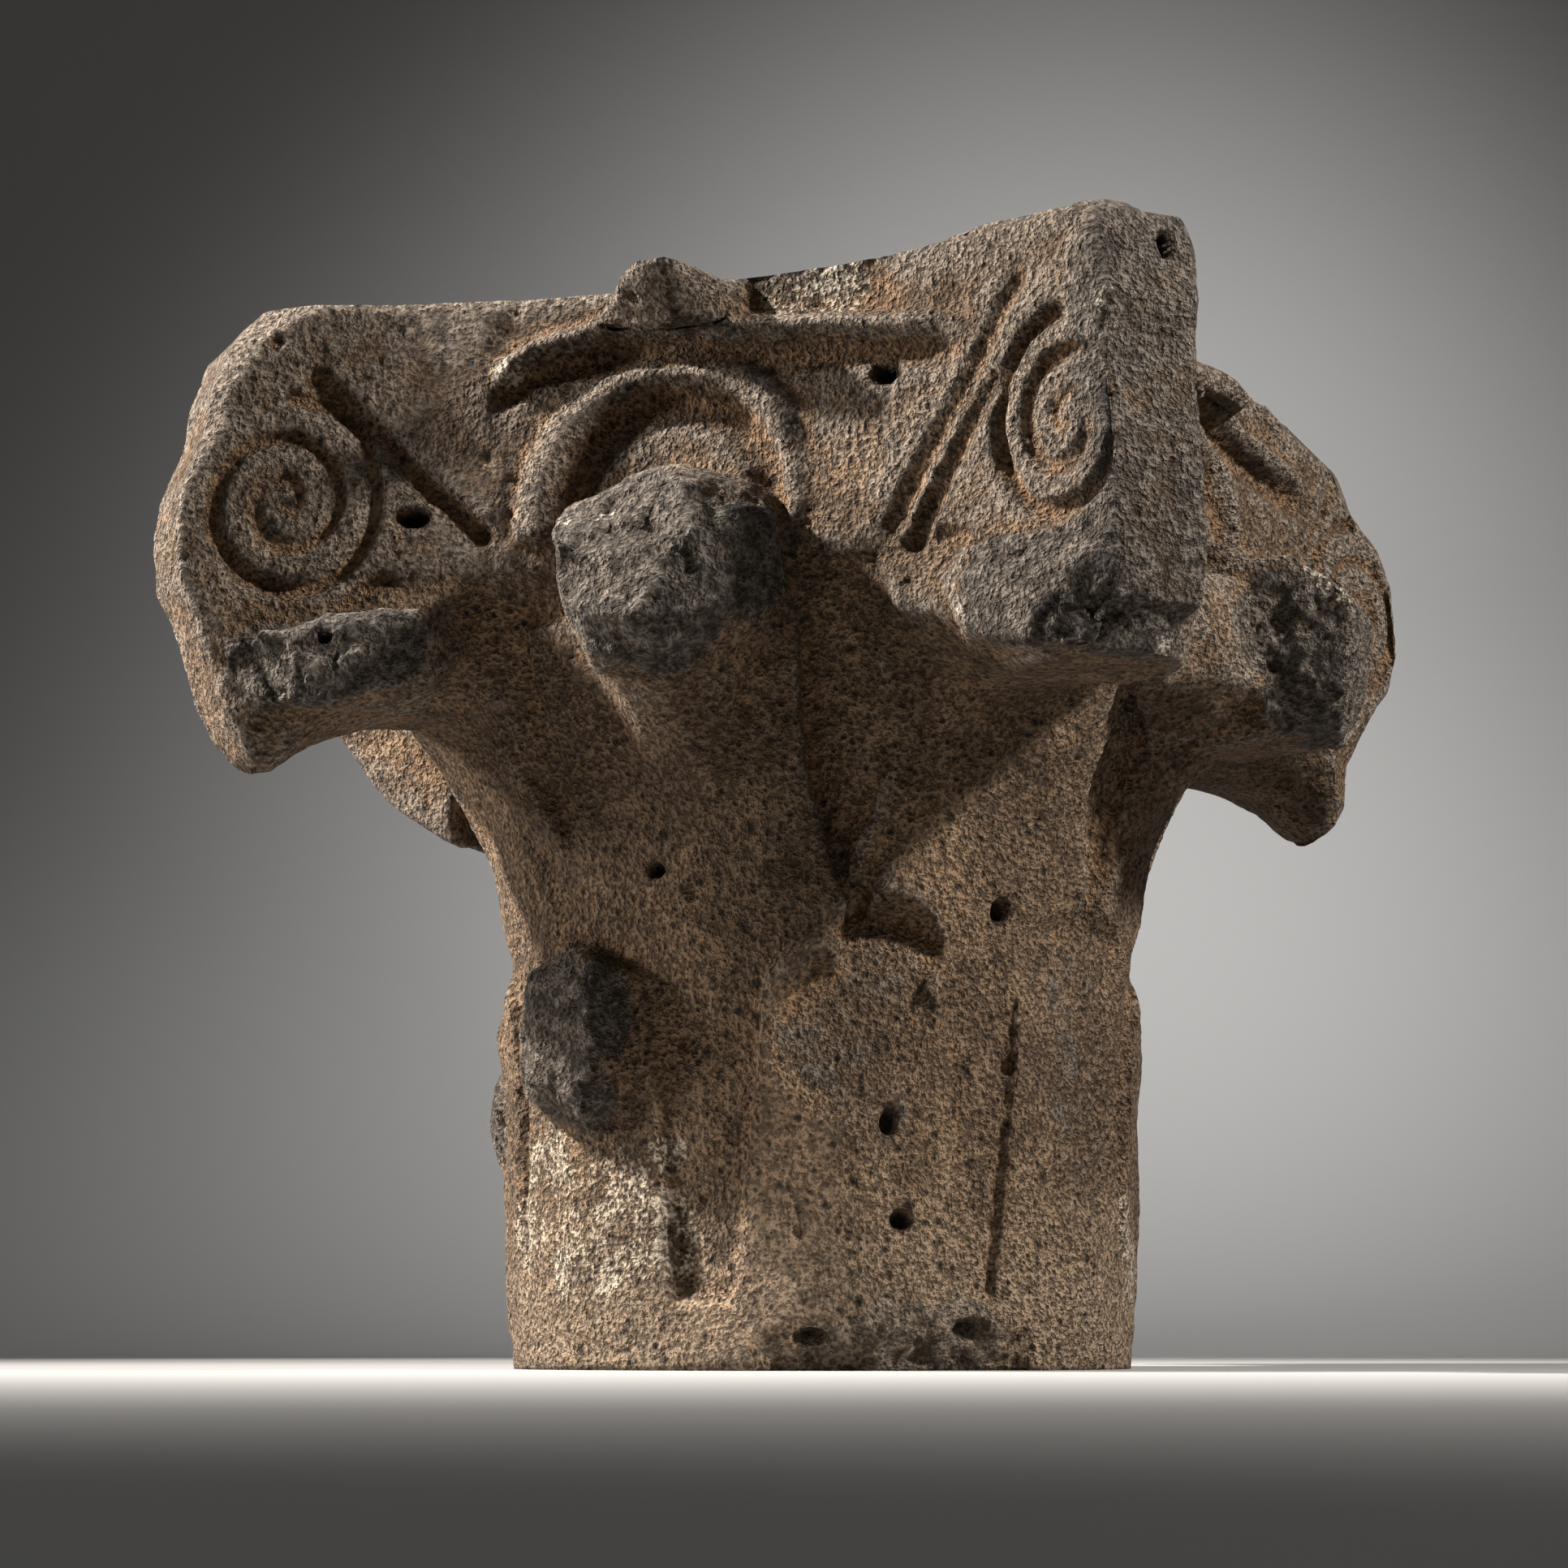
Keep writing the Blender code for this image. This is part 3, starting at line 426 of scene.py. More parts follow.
def add_hollow_floor(body, number):
    """Floor of the hollow between two upper leaves, as deep below their faces as the hollow's depth says."""
    def place(across, depth, up):
        z = UPPER_LEAF_FOOT + (UPPER_LEAF_FACE[-1][0] - UPPER_LEAF_FOOT) * up
        sunk = HOLLOW_DEPTHS[number] * smooth_step(HOLLOW_FOOT - 0.02, HOLLOW_FOOT + 0.02, z)
        radius = CORE_INSIDE + (read(UPPER_LEAF_FACE, z) - sunk - CORE_INSIDE) * depth
        return place_on_bell(HOLLOWS[number] + (2 * across - 1) * 1.2 * HOLLOW_HALF_ANGLE, radius, z)
    add_block(body, (6, 1, 30), place)


def lower_leaf_half(share):
    """Half the angle of a lower leaf at a share of its height: it meets its neighbours at the foot."""
    tip = np.sqrt(np.clip(1 - smooth_step(0.84, 1.0, share) ** 2, 0.02, 1))
    return (LOWER_LEAF_FOOT_HALF - LOWER_LEAF_NARROWING * share**0.9) * tip


def add_lower_leaf(body, azimuth):
    def place(across, depth, up):
        share = 1 - (1 - up) ** 1.4
        z = LOWER_LEAF_FOOT + (LOWER_LEAF_TIP - LOWER_LEAF_FOOT) * share
        sideways = 2 * across - 1
        rib = 0.0025 * mound(sideways, 0.35) - 0.002 * sideways**2
        face = read(UPPER_LEAF_FACE, z) + LOWER_LEAF_THICKNESS + rib
        radius = CORE_INSIDE + (face - CORE_INSIDE) * depth
        return place_on_bell(azimuth + sideways * lower_leaf_half(share), radius, z)
    add_block(body, (12, 1, 30), place)


def add_breaks(body):
    """Stumps of broken leaf tips and other lumps that stand out, all with flat broken faces."""
    main_stump = (
        (-0.050, 0.25, 0.515), (-0.048, 0.305, 0.506), (-0.050, 0.318, 0.465), (-0.046, 0.262, 0.425),
        (-0.032, 0.338, 0.442), (0.010, 0.346, 0.432), (0.036, 0.334, 0.484), (0.022, 0.308, 0.530),
        (-0.010, 0.292, 0.532), (0.066, 0.312, 0.490), (0.078, 0.285, 0.500), (0.074, 0.255, 0.430),
        (0.056, 0.324, 0.440), (0.020, 0.322, 0.416), (-0.032, 0.302, 0.406), (0.05, 0.25, 0.53),
    )
    right_stump = (
        (-0.058, 0.24, 0.49), (-0.062, 0.305, 0.500), (-0.062, 0.334, 0.504), (-0.060, 0.373, 0.470),
        (-0.058, 0.372, 0.440), (-0.056, 0.362, 0.399), (-0.052, 0.336, 0.392), (-0.048, 0.270, 0.386),
        (0.045, 0.365, 0.472), (0.050, 0.356, 0.415), (0.050, 0.27, 0.39), (0.055, 0.25, 0.510),
        (0.030, 0.320, 0.508), (0.020, 0.346, 0.392),
    )
    back_stump = (
        (-0.050, 0.25, 0.50), (-0.045, 0.335, 0.480), (-0.030, 0.345, 0.445), (0.040, 0.338, 0.440),
        (0.050, 0.330, 0.485), (0.055, 0.25, 0.51), (0.00, 0.30, 0.52), (-0.045, 0.28, 0.41),
        (0.045, 0.28, 0.41),
    )
    left_stump = (
        (-0.050, 0.25, 0.51), (-0.046, 0.345, 0.470), (-0.030, 0.352, 0.438), (0.040, 0.350, 0.438),
        (0.050, 0.335, 0.480), (0.050, 0.25, 0.50), (0.00, 0.30, 0.52), (-0.040, 0.304, 0.383),
        (0.040, 0.304, 0.383), (-0.040, 0.25, 0.35), (0.040, 0.25, 0.35),
    )
    left_corner_lump = (
        (-0.266, 0.300, 0.452), (-0.258, 0.337, 0.440), (-0.262, 0.330, 0.408), (-0.215, 0.322, 0.400),
        (-0.180, 0.306, 0.455), (-0.150, 0.298, 0.458), (-0.138, 0.262, 0.440), (-0.145, 0.290, 0.415),
        (-0.170, 0.25, 0.40), (-0.250, 0.27, 0.40),
    )
    near_corner_lump = (
        (0.172, 0.262, 0.448), (0.182, 0.296, 0.452), (0.200, 0.310, 0.466), (0.235, 0.320, 0.468),
        (0.200, 0.312, 0.418), (0.245, 0.336, 0.404), (0.300, 0.350, 0.400), (0.312, 0.354, 0.430),
        (0.295, 0.332, 0.474), (0.23, 0.27, 0.40), (0.19, 0.27, 0.415),
    )
    right_flank = (
        (-0.150, 0.270, 0.470), (-0.135, 0.255, 0.425), (-0.095, 0.262, 0.408), (-0.056, 0.285, 0.398),
        (-0.056, 0.315, 0.420), (-0.058, 0.305, 0.490), (-0.090, 0.272, 0.492), (-0.050, 0.240, 0.380),
        (-0.120, 0.240, 0.430),
    )
    lumps = (
        (0, main_stump), (0, left_corner_lump), (0, near_corner_lump), (1, right_stump), (1, right_flank),
        (2, back_stump), (3, left_stump),
    )
    for side, points in lumps:
        add_hull(body, [place_on_side(side, np.float64(u), n, z) for u, n, z in points])

    # The near corner rises a little over the bed, as (across, in from the corner's end, above the bed)
    near_corner_top = (
        (-0.083, 0.147, -0.002), (-0.066, 0.117, 0.005), (-0.025, 0.139, -0.015), (-0.050, 0.100, -0.010),
        (-0.039, 0.083, 0.007), (-0.021, 0.054, 0.012), (-0.0035, 0.036, 0.012), (0.000, 0.014, -0.004),
        (0.025, 0.069, 0.005), (0.000, 0.100, 0.009), (-0.035, 0.079, -0.015), (0.021, 0.051, -0.015),
    )
    add_hull(body, [place_on_side(0.5, np.float64(across), CORNER_REACH - back, HEIGHT + rise)
                    for across, back, rise in near_corner_top])

    # Fleurons, as (side, middle, half width, reach before the side, top below the bed)
    fleurons = (
        (0, 0.003, 0.038, 0.066, -0.005), (1, 0.020, 0.048, 0.044, 0.015), (2, 0.0, 0.038, 0.046, 0.003),
        (3, 0.0, 0.038, 0.046, 0.005),
    )
    for side, middle, half, reach, drop in fleurons:
        top = HEIGHT - drop
        points = (
            (-1.25 * half, -0.010, HEIGHT - 0.004), (-0.85 * half, reach - 0.048, top - 0.014),
            (-0.15 * half, reach - 0.010, top - 0.003), (0.35 * half, reach - 0.008, top - 0.004),
            (0.95 * half, reach - 0.045, top - 0.014), (1.1 * half, -0.010, HEIGHT - 0.006),
            (-1.60 * half, 0.000, HEIGHT - 0.024), (-0.5 * half, 0.016, HEIGHT - 0.032),
            (0.15 * half, 0.026, HEIGHT - 0.034), (0.80 * half, 0.014, HEIGHT - 0.030),
            (1.2 * half, -0.004, HEIGHT - 0.028), (0.1 * half, -0.010, top),
        )
        add_hull(body, [place_on_side(side, np.float64(middle + u), SIDE_MIDDLE + n, z)
                        for u, n, z in points])

    # The knob and its fellow are stumps of lower leaf tips, as (azimuth, radius, height)
    knob = (
        (-39.5, 0.19, 0.235), (-38.0, 0.219, 0.228), (-37.5, 0.226, 0.180), (-34.0, 0.205, 0.148),
        (-31.0, 0.235, 0.242), (-27.0, 0.243, 0.215), (-28.0, 0.240, 0.175), (-23.0, 0.222, 0.262),
        (-17.0, 0.236, 0.245), (-16.0, 0.238, 0.200), (-20.0, 0.228, 0.152), (-12.0, 0.19, 0.240),
        (-12.5, 0.195, 0.170), (-22.0, 0.19, 0.268), (-23.0, 0.19, 0.138),
    )
    far_knob = (
        (-83.0, 0.19, 0.19), (-79.0, 0.216, 0.185), (-76.0, 0.222, 0.155), (-71.0, 0.215, 0.190),
        (-64.0, 0.216, 0.165), (-66.0, 0.19, 0.20), (-70.0, 0.212, 0.128), (-62.0, 0.19, 0.14),
        (-80.0, 0.19, 0.13),
    )
    for points in (knob, far_knob):
        add_hull(body, [place_on_bell(np.radians(azimuth), radius, z) for azimuth, radius, z in points])


def volute_relief(u, z, side):
    """Spiral grooves, each wound inwards from above its eye and shallower towards it."""
    relief = np.zeros(len(u))
    for at, along, height, half_width, half_height, hand in VOLUTES:
        x = (u - along) / half_width * half_height * hand
        y = z - height
        rho = np.hypot(x, y)
        turn = (np.arctan2(-x, y) / (2 * math.pi)) % 1.0
        pitch = half_height / VOLUTE_TURNS
        nearest = np.round((half_height - rho) / pitch - turn) + turn
        nearest = np.clip(nearest, turn, VOLUTE_TURNS)
        away = rho - (half_height - pitch * nearest)
        cut = GROOVE_DEPTH * (EYE_SHARE + (1 - EYE_SHARE) * np.clip(rho / GROOVE_FULL_AT, 0, 1) ** 2)
        cut *= mound(away, GROOVE_HALF_WIDTH)
        relief -= np.where(side == at, cut, 0)
    return relief


def stem_relief(u, z, side):
    """Slanting stems from beside the bell up to the volutes: grooves with a ridge between them."""
    relief = np.zeros(len(u))
    for line, depth in zip(STEM_LINES, STEM_DEPTHS):
        relief -= depth * mound(distance_to_line(line, u, z), STEM_HALF_WIDTH)
        mirrored = HIDDEN_STEM_DEPTH * mound(distance_to_line(line, -u, z), LEFT_STEM_HALF_WIDTH)
        relief -= np.where(side == 0, 0, mirrored)
    left = LEFT_STEM_DEPTH * mound(distance_to_line(LEFT_STEM_LINE, -u, z), LEFT_STEM_HALF_WIDTH)
    relief -= np.where(side == 0, left, 0)
    return relief


def arch_relief(u, z):
    """A raised band that arches over the leaf in the middle, with the ground sunk inside it."""
    shape = np.hypot(u / ARCH_HALF_WIDTH, (z - ARCH_FOOT) / ARCH_RISE)
    away = (shape - 1) * ARCH_RISE
    present = (z > ARCH_FOOT - 0.01) * smooth_step(0.095, 0.065, u)
    band = ARCH_HEIGHT * mound(away, 2 * ARCH_BAND)
    band -= ARCH_GROUND_DEPTH * mound(away + 2.9 * ARCH_BAND, 2 * ARCH_BAND)
    return band * present


def ledge_relief(u, z, side):
    """The abacus ledge, the ground sunk below it, and the cove above it beside the fleuron."""
    line = HEIGHT - read(LEDGE, u)
    left = LEDGE[0][0]
    right = LEDGE[-1][0]
    present = smooth_step(left - 0.006, left + 0.014, u) * smooth_step(right + 0.01, right - 0.03, u)
    ledge = LEDGE_REACH * mound(z - line, LEDGE_HALF_WIDTH)
    ledge -= LEDGE_GROUND_DEPTH * mound(z - line + 1.8 * LEDGE_HALF_WIDTH, LEDGE_HALF_WIDTH)
    cove = COVE_DEPTH * smooth_step(line + 0.005, line + 0.016, z)
    cove *= smooth_step(HEIGHT + 0.012, HEIGHT - 0.012, z)
    cove *= smooth_step(COVE_LEFT - 0.01, COVE_LEFT + 0.01, u)
    cove *= smooth_step(COVE_RIGHT + 0.02, COVE_RIGHT - 0.02, u)
    return ledge * present - np.where(side == 0, cove, 0.6 * cove)


def cut_flat(points, origin, normal, near=None):
    """Move what lies beyond a plane back onto it. near limits the cut to a ball, as (centre, radius)."""
    normal = np.array(normal, dtype=float)
    normal /= np.linalg.norm(normal)
    beyond = np.clip((points - np.array(origin)) @ normal, 0, None)
    if near is not None:
        centre, radius = near
        beyond = beyond * smooth_step(1.0, 0.8, np.linalg.norm(points - np.array(centre), axis=1) / radius)
    return points - beyond[:, None] * normal


def break_off(points):
    """Flat broken places: each is a plane with its place, the way it faces, and how far it spreads."""
    bell_breaks = (
        (74.0, 0.1955, 0.188, 74.0, 0.02, 0.105), (31.0, 0.1915, 0.252, 27.0, 0.35, 0.040),
        (26.0, 0.1985, 0.200, 22.0, 0.12, 0.055), (-68.0, 0.205, 0.240, -68.0, 0.3, 0.05),
        (20.0, 0.196, 0.020, 20.0, -0.50, 0.045), (45.0, 0.194, 0.022, 45.0, -0.60, 0.060),
        (113.0, 0.203, 0.235, 113.0, 0.25, 0.06), (158.5, 0.204, 0.24, 158.5, 0.3, 0.06),
        (202.5, 0.203, 0.235, 202.5, 0.3, 0.055), (247.5, 0.204, 0.24, 247.5, 0.3, 0.06),
    )
    for azimuth, radius, z, facing, rise, spread in bell_breaks:
        place = place_on_bell(np.radians(azimuth), radius, z)
        normal = place_on_bell(np.radians(facing), math.cos(rise), math.sin(rise))
        points = cut_flat(points, place, normal, (place, spread))

    # The upper edge of the right side is worn away towards the far corner
    worn_edge = ((0.02, 0.283, 0.640, 0.09), (0.14, 0.287, 0.640, 0.11), (0.23, 0.284, 0.646, 0.10))
    for along, out, z, spread in worn_edge:
        place = place_on_side(1, np.float64(along), out, z)
        points = cut_flat(points, place, place_on_side(1, np.float64(0), 0.75, 0.66), (place, spread))
    return points


def carve(points, normals):
    """Move the points of the fused body by the carving, the wear and the breaks."""
    azimuth = np.arctan2(points[:, 0], -points[:, 1])
    side = np.round(azimuth / (math.pi / 2)).astype(int) % 4
    turn = side * math.pi / 2
    outward = np.stack([np.sin(turn), -np.cos(turn), 0 * turn], axis=-1)
    along = np.stack([np.cos(turn), np.sin(turn), 0 * turn], axis=-1)
    u = np.sum(points * along, axis=1)
    n = np.sum(points * outward, axis=1)
    z = points[:, 2]
    slope = np.clip(u, -HALF_CHORD, HALF_CHORD) / SIDE_RADIUS
    face_normal = outward * np.sqrt(1 - slope**2)[:, None] - along * slope[:, None]
    on_face = smooth_step(0.012, 0.004, np.abs(n - side_face(u)))
    on_face *= smooth_step(0.25, 0.6, np.sum(normals * face_normal, axis=1))
    on_face *= smooth_step(0.405, 0.425, z)
    on_face *= smooth_step(HALF_CHORD + 0.012, HALF_CHORD - 0.002, np.abs(u))

    relief = volute_relief(u, z, side) + stem_relief(u, z, side)
    relief += arch_relief(u, z) + ledge_relief(u, z, side)
    points = points + face_normal * (relief * on_face)[:, None]

    # Ends of the corners
    for corner, ends in enumerate(CORNER_ENDS):
        diagonal = (corner + 0.5) * math.pi / 2
        out = np.array([math.sin(diagonal), -math.cos(diagonal), 0])
        across = points @ np.array([math.cos(diagonal), math.sin(diagonal), 0])
        taper = CORNER_END_TAPER * np.clip(np.abs(across) - CORNER_END_WIDTH / 2, 0, 0.05)
        beyond = np.clip(points @ out - CORNER_REACH + read(ends, points[:, 2]) + taper, 0, None)
        beyond = np.where(points @ out > 0.3, beyond, 0)
        points = points - beyond[:, None] * out

    points = break_off(points)
    near_chin = place_on_side(0.5, np.zeros(1), 0.40, NEAR_CHIN_BREAK)[0]
    points = cut_flat(points, near_chin, (0, 0, -1), (near_chin, 0.115))

    # The two beds are flat
    for bed in (0.0, HEIGHT):
        points[np.abs(points[:, 2] - bed) < BED_SNAP, 2] = bed
    points[:, 2] = np.clip(points[:, 2], 0, None)
    return points


def new_piece(name):
    """The fused body's parts, joined in one mesh but not yet fused."""
    body = bmesh.new()
    add_core(body)
    for number in range(len(HOLLOWS)):
        add_upper_leaf(body, number)
        add_hollow_floor(body, number)
        add_lower_leaf(body, LOWER_LEAVES[number])
    for side in range(4):
        add_corner_leaf(body, side)
        add_side_leaf(body, side)
    add_breaks(body)
    mesh = bpy.data.meshes.new(name)
    body.to_mesh(mesh)
    body.free()
    piece = bpy.data.objects.new(name, mesh)
    bpy.context.collection.objects.link(piece)
    return piece


def smooth_noise(points, size, seed, octaves):
    """Fractal noise between about -1 and 1, whose largest waves are size long."""
    shift = Vector((seed * 7.31, seed * 3.17, seed * 5.73))
    return np.array([noise.fractal(Vector(p) / size + shift, 0.9, 2.1, octaves) for p in points.tolist()])


def cell_pits(points, cell, radius, share, seed):
    """Depth from 0 to 1 of round pits. Each cell of a jittered grid has one, and a share of them is open."""
    grid = np.floor(points / cell)
    deepest = np.zeros(len(points))
    for step in np.ndindex(3, 3, 3):
        own = grid + np.array(step) - 1
        mixed = np.abs(np.sin(own @ CELL_SCRAMBLE + seed) * CELL_SPREAD)
        jitter = mixed - np.floor(mixed)
        centre = (own + 0.15 + 0.7 * jitter) * cell
        chosen = (jitter[:, 0] * 7.0) % 1.0
        size = radius * (0.5 + 0.9 * ((jitter[:, 1] * 11.0) % 1.0))
        away = np.linalg.norm(points - centre, axis=1) / size
        deepest = np.maximum(deepest, np.where(chosen < share, np.clip(1 - away**2, 0, 1) ** 0.7, 0))
    return deepest


def facets(points, size, seed):
    """Chunky broken faces: every cell of a point pattern tilts its own way. Between about -1 and 1."""
    shift = Vector((seed * 5.1, seed * 8.7, seed * 2.3))
    heights = []
    for p in points.tolist():
        place = Vector(p) / size + shift
        centre = noise.voronoi(place)[1][0]
        tilt = noise.noise_vector(centre * 3.7)
        heights.append((place - centre).dot(tilt) * 1.6 + 0.5 * noise.noise(centre * 9.1))
    return np.array(heights)


def spot_share(points, spots):
    """1 inside the given spots and 0 outside, with a soft rim. A spot is a centre and its radius."""
    share = np.zeros(len(points))
    for centre, radius in spots:
        away = np.linalg.norm(points - np.array(centre), axis=1) / radius
        share = np.maximum(share, smooth_step(1.15, 0.75, away))
    return share


def spots_on_sides(table):
    """Spots from a table of (side, along, out, height, radius)."""
    return [(place_on_side(side, np.float64(along), out, z), radius) for side, along, out, z, radius in table]


def spots_on_bell(table):
    """Spots from a table of (azimuth in degrees, distance from the axis, height, radius)."""
    return [(place_on_bell(np.radians(azimuth), out, z), radius) for azimuth, out, z, radius in table]


def broken_spots():
    """Where the stone broke late and shows its dark grain."""
    side_spots = (
        (0, -0.010, 0.325, 0.490, 0.050), (0, -0.012, 0.330, 0.455, 0.050), (0, 0.030, 0.325, 0.470, 0.052),
        (0, 0.062, 0.305, 0.470, 0.038), (0, 0.020, 0.320, 0.420, 0.034), (0, -0.205, 0.318, 0.430, 0.036),
        (0, -0.240, 0.328, 0.424, 0.036), (0, -0.172, 0.303, 0.436, 0.028), (0, 0.225, 0.325, 0.436, 0.036),
        (0, 0.262, 0.338, 0.434, 0.042), (0, 0.300, 0.348, 0.430, 0.044), (1, -0.045, 0.360, 0.440, 0.038),
        (1, -0.056, 0.340, 0.410, 0.030), (1, -0.056, 0.330, 0.460, 0.038), (1, -0.010, 0.362, 0.440, 0.040),
        (1, -0.010, 0.350, 0.405, 0.030), (3, 0.0, 0.335, 0.470, 0.055), (2, 0.0, 0.335, 0.465, 0.055),
    )
    bell_spots = (
        (-27.0, 0.232, 0.222, 0.042), (-26.0, 0.232, 0.185, 0.042), (-22.0, 0.225, 0.160, 0.028),
        (-20.0, 0.230, 0.215, 0.036),
        (33.0, 0.200, 0.012, 0.034), (22.0, 0.200, 0.006, 0.024), (45.0, 0.200, 0.012, 0.034),
        (-71.0, 0.220, 0.160, 0.032),
    )
    return spots_on_sides(side_spots) + spots_on_bell(bell_spots)


def near_end_break_and_shade_spots():
    """The end of the near corner: partly a real old break, partly painted shade for an end face turned away
    from the light.
    """
    return spots_on_sides([(0.5, 0.0, 0.450, z, 0.056) for z in np.arange(0.41, 0.66, 0.024)])


def scar_spots():
    """The weathered scars where the tips of lower leaves are lost."""
    leaf_scars = (
        (74.0, 0.200, 0.225, 0.038), (74.0, 0.200, 0.180, 0.042), (76.0, 0.200, 0.130, 0.034),
        (30.0, 0.200, 0.246, 0.030), (24.0, 0.203, 0.190, 0.036), (28.0, 0.203, 0.150, 0.030),
        (18.0, 0.203, 0.200, 0.026), (113.0, 0.203, 0.225, 0.045), (158.5, 0.204, 0.230, 0.045),
        (202.5, 0.203, 0.225, 0.042), (247.5, 0.204, 0.230, 0.045),
    )
    return spots_on_bell(leaf_scars)


def lime_spots():
    """Where lime and lichen whiten the stone."""
    side_spots = (
        (0, 0.070, 0.262, 0.640, 0.022), (0, 0.105, 0.262, 0.642, 0.026), (0, 0.020, 0.262, 0.640, 0.014),
        (0, -0.104, 0.273, 0.608, 0.014), (0, -0.050, 0.318, 0.500, 0.010), (0, -0.020, 0.320, 0.505, 0.010),
        (1, -0.058, 0.350, 0.492, 0.016), (1, -0.059, 0.365, 0.478, 0.016), (0, 0.318, 0.340, 0.470, 0.010),
        (0, -0.302, 0.345, 0.50, 0.012), (0, 0.290, 0.340, 0.596, 0.012), (0, 0.200, 0.310, 0.430, 0.010),
        (0.5, 0.02, 0.43, 0.400, 0.012), (1, 0.02, 0.350, 0.392, 0.022),
    )
    bell_spots = (
        (-36.0, 0.202, 0.110, 0.040), (-34.0, 0.202, 0.140, 0.020), (-18.0, 0.202, 0.118, 0.028),
        (-10.0, 0.202, 0.080, 0.034), (-26.0, 0.202, 0.070, 0.040), (-44.0, 0.202, 0.090, 0.034),
        (-8.0, 0.200, 0.130, 0.014), (-14.0, 0.210, 0.352, 0.006), (-6.0, 0.210, 0.340, 0.006),
        (95.0, 0.202, 0.090, 0.022), (100.0, 0.202, 0.060, 0.030),
    )
    return spots_on_sides(side_spots) + spots_on_bell(bell_spots)


def hole_depth(points):
    """Depth of the single holes at each point, from 0 to 1."""
    azimuth = np.arctan2(points[:, 0], -points[:, 1])
    depth = np.zeros(len(points))
    for at, height, half_width, half_height in BELL_HOLES:
        around = (azimuth - math.radians(at) + math.pi) % (2 * math.pi) - math.pi
        away = np.hypot(around * FOOT_RADIUS / half_width, (points[:, 2] - height) / half_height)
        depth = np.maximum(depth, smooth_step(1.25, 0.55, away))
    for side, at, height, half_width, half_height in SIDE_HOLES:
        turn = side * math.pi / 2
        along = points[:, 0] * math.cos(turn) + points[:, 1] * math.sin(turn)
        out = points[:, 0] * math.sin(turn) - points[:, 1] * math.cos(turn)
        away = np.hypot((along - at) / half_width, (points[:, 2] - height) / half_height)
        depth = np.maximum(depth, smooth_step(1.25, 0.55, away) * (out > 0.2))
    return depth


def mesh_arrays(mesh):
    count = len(mesh.vertices)
    points, normals = np.empty(count * 3), np.empty(count * 3)
    mesh.vertices.foreach_get("co", points)
    mesh.vertices.foreach_get("normal", normals)
    return points.reshape(-1, 3), normals.reshape(-1, 3)


def set_points(mesh, points):
    mesh.vertices.foreach_set("co", points.ravel())
    mesh.update()


def applied(piece, kind, settings):
    """Put a modifier on the piece and apply it."""
    modifier = piece.modifiers.new(kind.lower(), kind)
    for name, value in settings.items():
        setattr(modifier, name, value)
    bpy.context.view_layer.update()
    result = bpy.data.meshes.new_from_object(piece.evaluated_get(bpy.context.evaluated_depsgraph_get()))
    piece.modifiers.clear()
    old = piece.data
    piece.data = result
    bpy.data.meshes.remove(old)


def weather(points, normals):
    """Uneven hand work, wear, rough broken grain and pits, along the surface's normals."""
    broken = spot_share(points, broken_spots())
    on_bed = (np.abs(points[:, 2]) < BED_SNAP) | (np.abs(points[:, 2] - HEIGHT) < BED_SNAP)
    move = np.zeros(len(points))
    for height, size, seed, octaves in UNEVENNESS:
        move += height * smooth_noise(points, size, seed, octaves)
    rough = broken > 0.01
    chunks = sum(height * facets(points[rough], size, seed) for height, size, seed in CHUNKS)
    move[rough] += broken[rough] * chunks
    for depth, cell, radius, share, seed in VESICLES:
        move -= depth * cell_pits(points, cell, radius, share, seed)
    move = np.where(on_bed, np.minimum(move, 0) * BED_WEAR, move)
    move -= HOLE_DEPTH * hole_depth(points)
    return points + normals * move[:, None]


def cavity(mesh, points, normals):
    """How far each point lies in a fine and in a broad hollow, each from -1 to 1."""
    edges = np.empty(len(mesh.edges) * 2, dtype=np.int64)
    mesh.edges.foreach_get("vertices", edges)
    one, two = edges.reshape(-1, 2).T
    degree = np.bincount(np.concatenate([one, two]), minlength=len(points))[:, None].clip(1)

    def around(values):
        total = np.zeros_like(values)
        np.add.at(total, one, values[two])
        np.add.at(total, two, values[one])
        return total / degree

    fine = np.sum((around(points) - points) * normals, axis=1)[:, None] * FINE_HOLLOW_GAIN
    soft = points
    for _ in range(BROAD_HOLLOW_ROUNDS):
        soft = around(soft)
    broad = np.sum((soft - points) * normals, axis=1)[:, None] * BROAD_HOLLOW_GAIN
    for _ in range(FINE_HOLLOW_ROUNDS):
        fine = 0.5 * fine + 0.5 * around(fine)
    return np.clip(fine[:, 0], -1, 1), np.clip(broad[:, 0], -1, 1)


